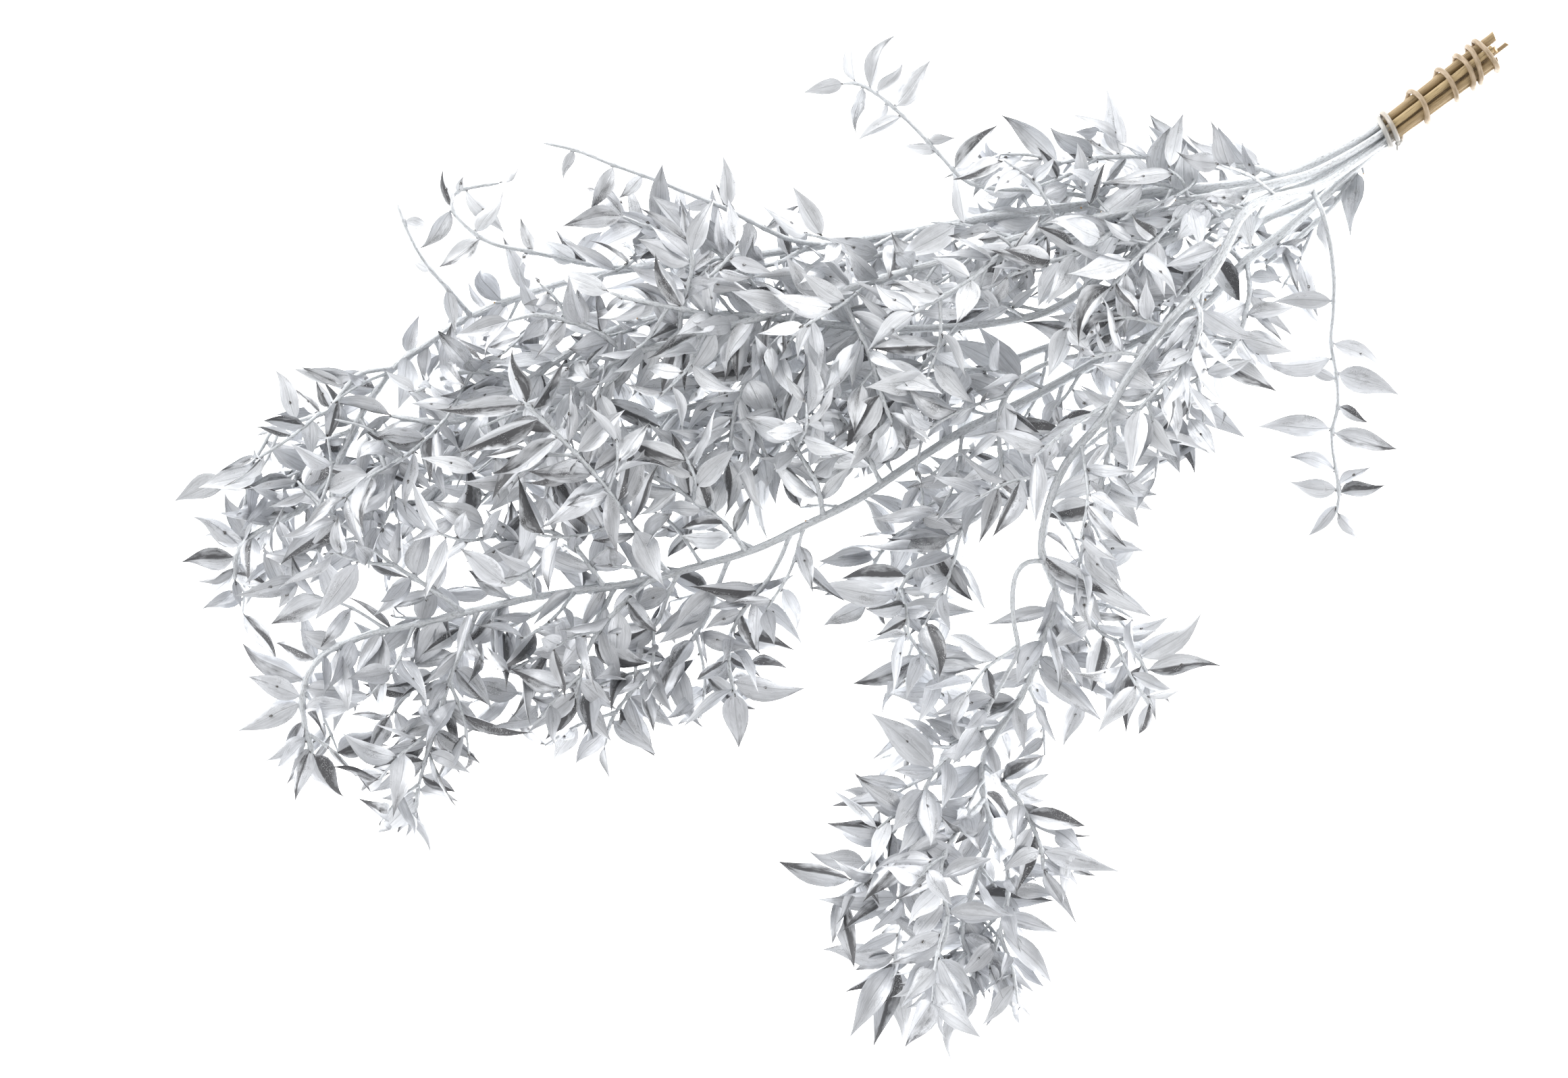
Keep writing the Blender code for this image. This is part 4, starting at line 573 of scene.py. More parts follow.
# %% Lay out the routes
STEM_TOLERANCE = 1.5
TWIG_TOLERANCE = 1.2
ROUTE_CLEARANCE = 1.2
ROUTE_LIFTS = (0, 4, -4, 8, -8, 12, -12, 16, -16, 20, -20, 25, 30, 35)
EASE_LENGTH = 26.0
HELD_PAST_BUNDLE = 20.0
SPREAD_LENGTH = 12.0
TWIG_ROOT_LENGTH = 9.0


def lifted(line, fixed, placed, radius, skip):
    """The line moved up or down, past its fixed first stretch, until it clears every line placed before."""
    along = lengths(line)
    ease = np.clip((along - fixed) / EASE_LENGTH, 0, 1)
    ease = ease * ease * (3 - 2 * ease)
    for lift in ROUTE_LIFTS:
        moved = line.copy()
        moved[:, 2] = np.maximum(moved[:, 2] + lift * ease, radius + 0.3)
        free = moved[along > fixed + skip]
        if all(clear_of(free, other, radius) for other in placed):
            return moved
    return moved


def clear_of(points, other, radius):
    """Whether all the points, as thick as radius, keep their distance from another route."""
    apart = np.linalg.norm(points[:, None] - other["dense"][None], axis=2)
    return bool((apart > radius + other["dense_radius"][None] + ROUTE_CLEARANCE).all())


def finish_route(route, line):
    """Keep the full curve, the line with the fewest points, and points close together along it to test
    distances with."""
    route["smooth"] = line
    if route["parent"]:
        route["line"] = simplified(line, TWIG_TOLERANCE)
    else:
        route["line"] = np.vstack([line[0], simplified(line[1:], STEM_TOLERANCE)])
    route["along"] = lengths(route["line"])
    distance = np.arange(0, route["along"][-1], 2.0)
    route["dense"] = resampled(route["line"], route["along"], distance)
    route["dense_radius"] = np.array([radius_at(route, d) for d in distance])
    return route


def lay_out_routes():
    """Every stem and twig as a polyline in millimetres, root first, none of them through another."""
    placed = {}
    for name, (side, up) in ring_slots().items():
        made = STEMS[name]
        start, end = bundle_ends(side, up)
        ahead = unit(end - start)
        reach = np.linalg.norm(np.array(made["route"][0]) - end)
        curve = smooth_curve(np.vstack([end, made["route"]]), before=end - ahead * reach)
        line = np.vstack([start - ahead * made["cut"], curve])
        held = float(np.linalg.norm(end - line[0])) + HELD_PAST_BUNDLE
        line = lifted(line, held, placed.values(), made["radii"][0], SPREAD_LENGTH)
        placed[name] = finish_route(made, line)
    for made in BRANCHES:
        parent = placed[made["parent"]]
        made["stem"] = parent["stem"]
        root_at = nearest_on(parent, *made["route"][0][:2])
        root, _ = point_at(parent, root_at)
        thick = radius_at(parent, root_at)
        line = smooth_curve(np.vstack([root, made["route"][1:]]))
        line = lifted(line, 0.0, placed.values(), TWIG_RADIUS, thick + TWIG_ROOT_LENGTH)
        made["root_radius"] = min(TWIG_RADIUS, 0.6 * thick)
        placed[made["name"]] = finish_route(made, line)
    return placed


routes = lay_out_routes()
total = sum(route["along"][-1] for route in routes.values())
print(len(routes), "routes,", round(total * MM, 1), "m of stem and twig")

# %% [markdown]
# ## Where the blades stand
#
# The CAD model has 522 blades: first the ones listed one by one, then one by a rule at even steps on each
# twig, turned round it until it meets nothing. A blade's place depends on all the ones before it, so the rule
# is repeated here whole, with the same random seeds. Each blade is tested as the CAD's simple keeled shape.

# %% The CAD model's simple shapes, to test distances with
STEM_SIDES = 7
TWIG_SIDES = 4
LEAF_LENGTH = (30.0, 41.0)
LEAF_WIDTH_SHARE = (0.30, 0.40)
LEAF_WIDTH_LIMIT = 13.5
LEAF_ROOT_SINK = 0.4
# At which share of a blade's length, and how thick in mm; where widest; where narrower, and by what share
LEAF_THICKEST = (0.14, 1.1)
LEAF_WIDEST = 0.32
LEAF_NARROWING = (0.66, 0.6)
LEAF_ARCH = (-0.035, 0.045)
LEAF_TWIST = 0.6
UP_HINT = (0.13, 0.31, 0.94)


def turns(sides):
    """The angles of a ring's points."""
    return np.arange(sides) * 2 * math.pi / sides


def ring_frames(line):
    """Two directions square to a polyline at each point, carried along it without twisting."""
    ahead = np.gradient(line, axis=0)
    ahead /= np.linalg.norm(ahead, axis=1)[:, None]
    first = np.cross(ahead[0], UP_HINT)
    frames = []
    for direction in ahead:
        first = unit(first - (first @ direction) * direction)
        frames.append((first, np.cross(direction, first)))
    return frames


def tube_mesh(line, radii, sides):
    """Points and faces of a closed tube round a polyline, with a flat cap at each end."""
    turn = turns(sides)
    rings = []
    for point, radius, (a, b) in zip(line, radii, ring_frames(line)):
        rings.append(point + radius * (np.outer(np.cos(turn), a) + np.outer(np.sin(turn), b)))
    faces = [tuple(reversed(range(sides)))]
    for k in range(len(rings) - 1):
        for j in range(sides):
            n = (j + 1) % sides
            faces.append((k * sides + j, k * sides + n, (k + 1) * sides + n, (k + 1) * sides + j))
    faces.append(tuple((len(rings) - 1) * sides + j for j in range(sides)))
    return np.vstack(rings), faces


def route_mesh(route):
    """The CAD model's tube of one stem or twig, thinner where a twig leaves its parent."""
    radii = [radius_at(route, d) for d in route["along"]]
    if route["parent"]:
        radii[0] = route["root_radius"]
    return tube_mesh(route["line"], radii, TWIG_SIDES if route["parent"] else STEM_SIDES)

# %% A blade in its simple keeled shape
def leaf_axes(leaf):
    """A blade's reach from root to tip, its length, and its directions ahead, out of its face and across."""
    reach = leaf["tip"] - leaf["root"]
    length = np.linalg.norm(reach)
    ahead = reach / length
    normal = unit(leaf["normal"] - (leaf["normal"] @ ahead) * ahead)
    return reach, length, ahead, normal, np.cross(ahead, normal)


def leaf_point(leaf, at):
    """Middle of the blade at that share of its length, and its directions across and up, with its twist."""
    reach, length, _, normal, side = leaf_axes(leaf)
    turn = leaf["twist"] * (at - 0.4)
    middle = leaf["root"] + reach * at + normal * (leaf["arch"] * length * 4 * at * (1 - at))
    out = side * math.cos(turn) + normal * math.sin(turn)
    return middle, out, normal * math.cos(turn) - side * math.sin(turn)


def leaf_mesh(leaf, grow=0.0):
    """Points and faces of one blade: a flat face, and a ridge along the rib of the other, pointed at both
    ends. The flat face is split along the diagonal that its twist lowers, so the two faces never cross.
    With grow, the blade is that much wider and thicker all round, to test what lies close to it."""
    thick_at, thick = LEAF_THICKEST
    narrow_at, narrow = LEAF_NARROWING
    reach = leaf["tip"] - leaf["root"]
    middle, _, up = leaf_point(leaf, thick_at)
    points = [leaf["root"] - unit(reach) * LEAF_ROOT_SINK,
              middle + leaf["ridge_side"] * up * (thick + grow)]
    for at, wide in ((LEAF_WIDEST, 1.0), (narrow_at, narrow)):
        middle, out, up = leaf_point(leaf, at)
        half = 0.5 * leaf["width"] * wide + grow
        flat = middle - leaf["ridge_side"] * up * grow
        points += [flat - out * half, flat + out * half]
    points.append(leaf["tip"])
    lowered = [(2, 4, 3), (4, 5, 3)] if leaf["twist"] * leaf["ridge_side"] > 0 else [(2, 4, 5), (2, 5, 3)]
    faces = [(0, 2, 3), *lowered, (4, 6, 5), (0, 1, 2), (1, 4, 2), (1, 6, 4), (0, 3, 1), (1, 3, 5), (1, 5, 6)]
    if leaf["ridge_side"] < 0:
        faces = [face[::-1] for face in faces]
    return np.array(points), faces

# %% A test of one shape against all that are placed
class Neighbours:
    """The surfaces placed so far, to test a new blade against."""

    def __init__(self, routes):
        self.trees, self.centres, self.reaches, self.names = [], [], [], []
        for route in routes.values():
            self.add(route["name"], *route_mesh(route))

    def add(self, name, points, faces):
        centre = points.mean(axis=0)
        self.trees.append(BVHTree.FromPolygons([Vector(p) for p in points], faces))
        self.centres.append(centre)
        self.reaches.append(np.linalg.norm(points - centre, axis=1).max())
        self.names.append(name)

    def free(self, own, points, faces):
        """Whether a shape meets nothing in here but the twig that it grows from, its own."""
        centre = points.mean(axis=0)
        reach = np.linalg.norm(points - centre, axis=1).max()
        near = np.linalg.norm(np.array(self.centres) - centre, axis=1) < np.array(self.reaches) + reach
        tree = BVHTree.FromPolygons([Vector(p) for p in points], faces)
        return not any(self.names[k] != own and tree.overlap(self.trees[k]) for k in np.flatnonzero(near))

# %% Place the blades
LEAF_SWEEP_DEG = (38, 62)
LEAF_FIRST = 12.0
LEAF_LAST = 0.6
LEAF_CLEARANCE = 0.4
LEAF_TRIES = 7
LEAF_RISES = (0, 5, -5, 10, -10, 16, -16, 22, -22, 28, -28)
LEAF_FLATNESS = 0.45
TURN_WANDER = 0.75
TURN_STEP = 0.62
END_SWEEP = 0.12
SWEEP_LOSS_DEG = 14
SHRINK_STEP = 0.04
TAKEN_SHARE = 0.45


def new_leaf(route, at, direction, length, draw, flat=0.0):
    """A blade rooted on the route's line, reaching that far along direction."""
    root, _ = point_at(route, at)
    lean = draw.uniform(-1.0, 1.0) * (1.0 - flat)
    across = np.cross(direction, (0, 0, 1.0))
    normal = np.array((0, 0, 1.0)) + across * lean + 0.1 * direction
    arch = draw.uniform(*LEAF_ARCH)
    return {"route": route["name"], "at": at, "root": root, "tip": root + direction * length,
            "normal": normal, "arch": arch, "width": length * draw.uniform(*LEAF_WIDTH_SHARE),
            "twist": draw.uniform(-LEAF_TWIST, LEAF_TWIST), "ridge_side": -1 if arch > 0 else 1}


def fits(leaf, neighbours):
    """Whether a blade stays above the surface, and clear of everything but its own twig, grown or not.
    The grown shape alone isn't enough, since its shallow sides pass under the blade's thin edges."""
    blade, grown = leaf_mesh(leaf), leaf_mesh(leaf, LEAF_CLEARANCE)
    own = leaf["route"]
    return blade[0][:, 2].min() >= 0 and neighbours.free(own, *blade) and neighbours.free(own, *grown)


def chosen_leaf(route, spot, draw, neighbours):
    """The blade whose root and tip are given as seen from above. Its tip is raised or lowered until it
    is clear, unless the height of the tip is given too."""
    root_x, root_y, tip_x, tip_y, *height = spot
    at = min(nearest_on(route, root_x, root_y), route["along"][-1] - LEAF_LAST)
    root, _ = point_at(route, at)
    for rise in LEAF_RISES:
        tip_z = height[0] if height else max(root[2] + rise + draw.uniform(-3, 3), 1.5)
        tip = np.array((tip_x, tip_y, tip_z))
        direction = tip - root
        length = float(np.linalg.norm(direction))
        leaf = new_leaf(route, at, direction / length, length, draw, flat=LEAF_FLATNESS)
        leaf["width"] = min(leaf["width"], LEAF_WIDTH_LIMIT)
        if fits(leaf, neighbours):
            return leaf
    return None


def square_to(route, at, turn):
    """The direction of a route there, and the one square to it that far round it, from the level one."""
    _, ahead = point_at(route, at)
    side = unit(np.cross(ahead, (0, 0, 1.0)))
    return ahead, side * math.cos(turn) + np.cross(side, ahead) * math.sin(turn)


def outward(route, at, turn, sweep):
    """The direction off a route there, that far round it and that far from its own direction."""
    ahead, out = square_to(route, at, turn)
    return ahead * math.cos(sweep) + out * math.sin(sweep)


def ruled_leaf(route, at, rank, draw, neighbours, last):
    """A blade by the rule: ranks lie to either side of the twig, swept towards its tip, turned on round
    the twig until they are clear."""
    share = at / route["along"][-1]
    for k in range(LEAF_TRIES):
        turn = (0 if rank % 2 else math.pi) + draw.uniform(-TURN_WANDER, TURN_WANDER) + TURN_STEP * k
        if last and k == 0:
            sweep = END_SWEEP
        else:
            sweep = math.radians(draw.uniform(*LEAF_SWEEP_DEG) - SWEEP_LOSS_DEG * share)
        length = draw.uniform(*LEAF_LENGTH) * (1 - SHRINK_STEP * k)
        leaf = new_leaf(route, at, outward(route, at, turn, sweep), length, draw)
        if fits(leaf, neighbours):
            return leaf
    return None

# %% Lay out the CAD model's blades
def lay_out_leaves(routes):
    """Every blade: first the chosen ones, then those that the rule adds along each stem and twig."""
    neighbours = Neighbours(routes)
    leaves = []

    def keep(leaf):
        if leaf:
            leaves.append(leaf)
            neighbours.add("leaf", *leaf_mesh(leaf))

    for route in routes.values():
        draw = random.Random(route["name"] + " chosen")
        for spot in route["leaves"]:
            keep(chosen_leaf(route, spot, draw, neighbours))
    for route in routes.values():
        draw = random.Random(route["name"] + " ruled")
        total = route["along"][-1]
        start = max(route["bare"] * total, LEAF_FIRST)
        count = max(1, round((total - start) / route["spacing"]))
        for rank in range(count + 1):
            at = start + (total - LEAF_LAST - start) * rank / count
            taken = [leaf["at"] for leaf in leaves if leaf["route"] == route["name"]]
            if all(abs(at - other) > TAKEN_SHARE * route["spacing"] for other in taken):
                keep(ruled_leaf(route, at, rank, draw, neighbours, rank == count))
    return leaves


leaves = lay_out_leaves(routes)
cad_blades = len(leaves)
print(cad_blades, "blades as in the CAD model")

# %% [markdown]
# ## More than the CAD model has
#
# A collision model needs only enough blades to fill the form. The real bunch is denser. Short thin side twigs
# go into the gaps between the others, and then more blades, a little smaller, go on every twig. Both are kept
# clear of the stems, the twigs and each other. They aren't tested against the CAD model's own blades, so in
# the dense middle some of them pass through one. Both only reach to places that the CAD model's blades
# already surround, so the outline hardly changes. Blades that would hide a long stem in plain sight are left
# out, because the real ones run bare over the bunch.

# %% Where there may be more
# SURROUNDED: so many CAD blades have to lie within so many mm, seen from above
SURROUNDED = (27.0, 3)
TOP_MARGIN = 6.0
HIGHEST = cad_high[2] / MM - TOP_MARGIN
SEEN_STEMS = ("stem_long_lower", "stem_upper_arc", "stem_drooping", "stem_middle")
SEEN_MARGIN = 5.0
HIDING_SHARES = (0.3, 0.6, 0.9)
seen = np.vstack([routes[name]["dense"] for name in SEEN_STEMS])
cad_middles = np.array([(leaf["root"] + leaf["tip"])[:2] / 2 for leaf in leaves])
neighbours = Neighbours(routes)


def surrounded(point):
    """Whether a point is no higher than the CAD model's blades and, seen from above, has enough of them
    near it."""
    reach, enough = SURROUNDED
    near = (np.linalg.norm(cad_middles - point[:2], axis=1) < reach).sum()
    return near >= enough and point[2] < HIGHEST


def hides_stem(leaf):
    """Whether a blade lies over one of the long stems that run in plain sight on top of the bunch."""
    spots = leaf["root"] + np.array(HIDING_SHARES)[:, None] * (leaf["tip"] - leaf["root"])
    near = np.linalg.norm(spots[:, None, :2] - seen[None, :, :2], axis=2) < SEEN_MARGIN
    return bool((near & (spots[:, None, 2] > seen[None, :, 2])).any())


print("Nothing more reaches over", round(HIGHEST, 1), "mm")

# %% More side twigs
TWIGLET_SPACING = 25.0
TWIGLET_LENGTH = (26.0, 52.0)
TWIGLET_RADII = (0.85, 0.5)
TWIGLET_SWEEP_DEG = (35, 75)
TWIGLET_WANDER = 1.2
TWIGLET_TRIES = 10
TWIGLET_FLOOR = 1.0
FIRST_TWIGLET = 0.2
STEP_WANDER = (0.2, 0.8)
BARE_TWIG = 0.9


def twiglet(route, at, draw, name):
    """A short side twig that bends towards its parent's direction, or None where there is no room."""
    root, ahead = point_at(route, at)
    for k in range(TWIGLET_TRIES):
        turn = draw.choice((0, math.pi)) + draw.uniform(-TWIGLET_WANDER, TWIGLET_WANDER)
        direction = outward(route, at, turn, math.radians(draw.uniform(*TWIGLET_SWEEP_DEG)))
        length = draw.uniform(*TWIGLET_LENGTH) * (1 - SHRINK_STEP * k)
        middle = root + 0.55 * length * direction
        line = smooth_curve([root, middle, middle + 0.45 * length * (0.8 * direction + 0.4 * ahead)])
        made = finish_route({"name": name, "stem": route["stem"], "parent": route["name"],
                             "radii": TWIGLET_RADII, "bare": 0.0, "root_radius": TWIGLET_RADII[0]}, line)
        shape = route_mesh(made)
        above = shape[0][:, 2].min() > TWIGLET_FLOOR
        if above and surrounded(line[-1]) and neighbours.free(route["name"], *shape):
            return made
    return None


def add_twiglets(routes):
    """Side twigs at even steps along every stem and twig that isn't a bare one."""
    for route in list(routes.values()):
        draw = random.Random(route["name"] + " twiglets")
        total = route["along"][-1]
        start = FIRST_TWIGLET * total + LEAF_FIRST
        for k in range(0 if route["bare"] >= BARE_TWIG else int((total - start) / TWIGLET_SPACING)):
            at = start + (k + draw.uniform(*STEP_WANDER)) * TWIGLET_SPACING
            made = twiglet(route, at, draw, f"{route['name']} {k}")
            if made:
                routes[made["name"]] = made
                neighbours.add(made["name"], *route_mesh(made))


cad_routes = len(routes)
add_twiglets(routes)
print(len(routes) - cad_routes, "twigs more")

# %% More blades
MORE_LENGTH = (24.0, 40.0)
MORE_SWEEP_DEG = (40, 78)
MORE_WANDER = 1.0
MORE_SPACING = 8.0
MORE_TRIES = 12
MORE_FIRST = 8.0
# The upper left of the bunch is airy: left of this x and above this y, this share of them is left out again
AIRY_PART = ((-110.0, -20.0), 0.3)


def small_leaf(route, at, rank, draw):
    """A blade among the CAD model's, clear of the stems, the twigs and the blades added before it."""
    for k in range(MORE_TRIES):
        turn = rank * math.pi + draw.uniform(-MORE_WANDER, MORE_WANDER) + TURN_STEP * k
        direction = outward(route, at, turn, math.radians(draw.uniform(*MORE_SWEEP_DEG)))
        leaf = new_leaf(route, at, direction, draw.uniform(*MORE_LENGTH) * (1 - SHRINK_STEP * k), draw)
        leaf["more"] = True
        shape = leaf_mesh(leaf)
        inside = shape[0][:, 2].min() >= 0 and surrounded(leaf["tip"]) and not hides_stem(leaf)
        if inside and neighbours.free(route["name"], *shape):
            return leaf
    return None


def fill_in(routes):
    """Blades between the others, on every twig that isn't a bare one, the last of them at its tip."""
    (left_of, above), left_out = AIRY_PART
    added = []
    for route in routes.values():
        draw = random.Random(route["name"] + " more")
        total = route["along"][-1]
        start = max(route["bare"] * total - LEAF_SPACING, MORE_FIRST)
        for k in range(0 if route["bare"] >= BARE_TWIG else int((total - start) / MORE_SPACING) + 1):
            at = min(start + (k + draw.uniform(*STEP_WANDER)) * MORE_SPACING, total - LEAF_LAST)
            leaf = small_leaf(route, at, k, draw)
            airy = leaf and leaf["tip"][0] < left_of and leaf["tip"][1] > above
            if leaf and not (airy and draw.random() < left_out):
                added.append(leaf)
                neighbours.add("leaf", *leaf_mesh(leaf))
    return added


leaves += fill_in(routes)
print(len(leaves) - cad_blades, "blades more,", len(leaves), "in all")

# %% [markdown]
# ## Skins made of rings
#
# Twig, blade, bract and band are all one kind of surface: rings of points along a path, closed by a single
# point, a pole, at each end. A ring's points are worked out for the whole piece at once, as an array with one
# row for each ring. A skin gathers many such shells into one mesh. Beside its place, each point carries two
# vectors for the materials: `pattern`, which says where on its own shell the point is, and a second one,
# which says how much of a finish it has and, on a blade, how dark its marks of thin paint and painted shade
# are and how much its paint is lightened as painted light.

# %% Rings
def tube_rings(path, radii):
    """point(k, j) = path(k) + radius(k, j) * (cos t * side(k) + sin t * over(k)), with t = 2 pi j / sides.
    side is square to the path and to a fixed hint, and over is square to both."""
    ahead = np.gradient(path, axis=0)
    ahead /= np.linalg.norm(ahead, axis=1, keepdims=True)
    side = np.cross(ahead, UP_HINT)
    side /= np.linalg.norm(side, axis=1, keepdims=True)
    over = np.cross(ahead, side)
    turn = turns(radii.shape[1])
    out = np.cos(turn)[None, :, None] * side[:, None] + np.sin(turn)[None, :, None] * over[:, None]
    return path[:, None] + radii[:, :, None] * out


def round_pattern(radii, along):
    """(across, over, along) in mm for each point of a tube's rings: round its axis, and along it."""
    turn = turns(radii.shape[1])
    return np.stack([radii * np.cos(turn), radii * np.sin(turn), np.tile(along[:, None], len(turn))], axis=-1)


def with_poles(first, rings, last):
    """One list of points: the first pole, every ring's points in turn, and the last pole."""
    return np.vstack([first, rings.reshape(-1, 3), last])

# %% The skin that gathers them
def in_scene(name, data):
    """A new object in the scene, at the origin, with that mesh, lamp or camera."""
    thing = bpy.data.objects.new(name, data)
    bpy.context.scene.collection.objects.link(thing)
    return thing


class Skin:
    """Closed shells of rings, gathered into one mesh."""

    def __init__(self):
        self.points, self.pattern, self.wear, self.keen = [], [], [], []
        self.faces, self.finish = [], []
        self.count = 0

    def add(self, shape, points, pattern, wear, finish, keen=None):
        """One shell. shape is (rings, sides). finish is the number of the material, the same all over or one
        for each band of faces from pole to pole. keen marks the points that a sharp edge runs through."""
        rings, sides = shape
        at = self.count + 1 + np.arange(rings * sides).reshape(rings, sides)
        ahead = np.roll(at, -1, axis=1)
        quads = np.stack([at[:-1], ahead[:-1], ahead[1:], at[1:]], axis=-1).reshape(-1, 4)
        first = np.stack([np.full(sides, self.count), ahead[0], at[0]], axis=-1)
        last = np.stack([at[-1], ahead[-1], np.full(sides, at[-1, -1] + 1)], axis=-1)
        self.faces += first.tolist() + quads.tolist() + last.tolist()
        self.finish.append(np.repeat(np.broadcast_to(finish, rings + 1), sides))
        self.points.append(points)
        self.pattern.append(np.broadcast_to(pattern, points.shape))
        self.wear.append(np.broadcast_to(wear, points.shape))
        self.keen.append(np.zeros(len(points), bool) if keen is None else keen)
        self.count += len(points)

    def mesh_object(self, name, materials):
        """The gathered shells as one object at the origin, its place in its mesh."""
        mesh = bpy.data.meshes.new(name)
        mesh.from_pydata((np.vstack(self.points) * MM).tolist(), [], self.faces)
        for label, values in (("pattern", self.pattern), ("wear", self.wear)):
            layer = mesh.attributes.new(label, "FLOAT_VECTOR", "POINT")
            layer.data.foreach_set("vector", np.vstack(values).astype(np.float32).ravel())
        for material in materials:
            mesh.materials.append(material)
        mesh.polygons.foreach_set("material_index", np.concatenate(self.finish).astype(np.int32))
        mesh.polygons.foreach_set("use_smooth", np.ones(len(self.faces), bool))
        ends = np.empty(len(mesh.edges) * 2, np.int32)
        mesh.edges.foreach_get("vertices", ends)
        keen = np.concatenate(self.keen)[ends.reshape(-1, 2)].all(axis=1)
        mesh.edges.foreach_set("use_edge_sharp", keen)
        mesh.update()
        return in_scene(name, mesh)

# %% [markdown]
# ## Bark
#
# A dried stem isn't round: it shrinks into shallow flutes, swells a little wherever a blade or twig sat, and
# is a touch uneven all along. Those are changes to the radius, so they need no extra parts. Out of the bundle
# a stem is also fuller than the CAD model's, which is kept thin so that its straight facets clear each other.
# The cut ends were snipped at a slant, which tilts the first rings.

# %% Stems and twigs
BARK, BLADE, BRACT, CUT = range(4)
# Points round a ring and mm to the next; share fuller and over how many mm; a swelling's height and width
STEM_RING = (10, 3.0)
TWIG_RING = (7, 2.0)
STEM_FULLER = (0.42, 70.0)
TWIG_FULLER = 0.28
FLUTES = 3
FLUTE = 0.05
FLUTE_TWIST = 0.02
UNEVEN = 0.025
NODE_SWELL = (0.38, 1.5)
ROOT_SWELL = (0.45, 1.6)
ROOT_SWELL_AT = 2.0
TIP_POINT = 0.3
CUT_RINGS = (0.6, 0.96, 1.0)
CUT_BEVEL = 0.25
CUT_SLANT = (0.15, 0.55)
TIP_SHRINK = (1.0, 0.8, 0.5)


def route_path(route):
    """The route's smooth line at even steps, and how far along it each point is."""
    along = lengths(route["smooth"])
    step = TWIG_RING[1] if route["parent"] else STEM_RING[1]
    even = np.linspace(0, along[-1], round(along[-1] / step) + 1)
    return resampled(route["smooth"], along, even), even


def swollen(even, places, swell):
    """Sum over the places of height * exp(-((distance - place) / width) squared)."""
    height, width = swell
    return height * np.exp(-(((even[:, None] - np.asarray(places)[None]) / width) ** 2)).sum(axis=1)


def fuller(route, even):
    """Share by which the bark stands over the CAD model's: from 0 at the bundle up to its full value a way
    past it on a stem, as s^2 (3 - 2s), and the same all along a twig."""
    if route["parent"]:
        return TWIG_FULLER
    most, reach = STEM_FULLER
    s = np.clip((even - np.linalg.norm(np.subtract(BUNDLE_START, BUNDLE_END))) / reach, 0, 1)
    return most * s * s * (3 - 2 * s)


def snipped(path, rings, radii, slant):
    """A stem's cut end in place of its first ring: that ring drawn in to each of CUT_RINGS' shares, tilted
    along the axis by slant, its rim bevelled. Gives all the rings and their radii."""
    shares = np.array(CUT_RINGS)[:, None]
    ahead = unit(path[1] - path[0])
    face = path[0] + (rings[0] - path[0]) * shares[:, :, None] + (slant * shares)[:, :, None] * ahead
    face[-1] += CUT_BEVEL * ahead
    return np.vstack([face, rings[1:]]), np.vstack([shares * radii[0], radii[1:]])


def add_bark(skin, route, roots):
    """The bark of one stem or twig. Its pattern is (across, over, along) in mm, round and along the axis, and
    its wear is (distance from where the stems part towards the cuts, share of the radius, tone)."""
    path, even = route_path(route)
    sides = TWIG_RING[0] if route["parent"] else STEM_RING[0]
    draw = np.random.default_rng(sum(map(ord, route["name"])))
    radius = np.array([radius_at(route, d) for d in even * route["along"][-1] / even[-1]])
    radius *= 1 + fuller(route, even)
    radius += swollen(even, roots, NODE_SWELL)
    if route["parent"]:
        radius[0] = route["root_radius"] * (1 + TWIG_FULLER)
        radius += swollen(even, [ROOT_SWELL_AT], ROOT_SWELL)
    radius[-len(TIP_SHRINK):] *= TIP_SHRINK
    turn = turns(sides)
    phase = draw.uniform(0, 6.28, 2)
    flutes = FLUTE * np.cos(FLUTES * turn[None] + phase[0] + FLUTE_TWIST * even[:, None])
    radii = radius[:, None] * (1 + flutes + draw.normal(0, UNEVEN, (len(even), sides)))
    rings, finish, keen = tube_rings(path, radii), BARK, None
    if not route["parent"]:
        slant = draw.uniform(*CUT_SLANT) * np.cos(turn - phase[1]) * radii[0]
        rings, radii = snipped(path, rings, radii, slant)
        even = np.concatenate([[0, 0, CUT_BEVEL], even[1:]])
        finish = np.where(np.arange(len(rings) + 1) < len(CUT_RINGS), CUT, BARK)
        keen = np.zeros(len(rings) * sides + 2, bool)
        keen[1 + sides: 1 + 2 * sides] = True
    last = path[-1] + (path[-1] - path[-2]) * TIP_POINT
    start, end = bundle_ends()
    past = ((rings - end) @ (start - end)) / np.linalg.norm(start - end)
    share = np.ones_like(past)
    share[:len(CUT_RINGS)] = np.array(CUT_RINGS)[:, None]
    tone = draw.uniform(0, 1)
    wear = np.stack([past, share, np.full_like(past, tone)], axis=-1)
    skin.add(rings.shape[:2], with_poles(path[0], rings, last),
             with_poles((0, 0, even[0]), round_pattern(radii, even), (0, 0, even[-1])),
             with_poles((past[0].mean(), 0, tone), wear, (past[-1].mean(), 1, tone)), finish, keen)

# %% [markdown]
# ## Blades
#
# What looks like a leaf on ruscus is a flattened stem: a stiff, pointed blade on a very short stalk. Drying
# folds it along its middle rib, curls its tip and waves its edges, and that is what makes half of a blade
# light and the other half dark. Each ring has only four points, one on each edge and one over and under the
# rib. With some 2,200 blades, a few dozen faces each are enough, since the rib is smooth-shaded.

# %% The form of a blade
BLADE_RINGS = 12
BRACT_RINGS = 3
STALK_SHARE = 0.05
STALK_RADIUS = 0.35
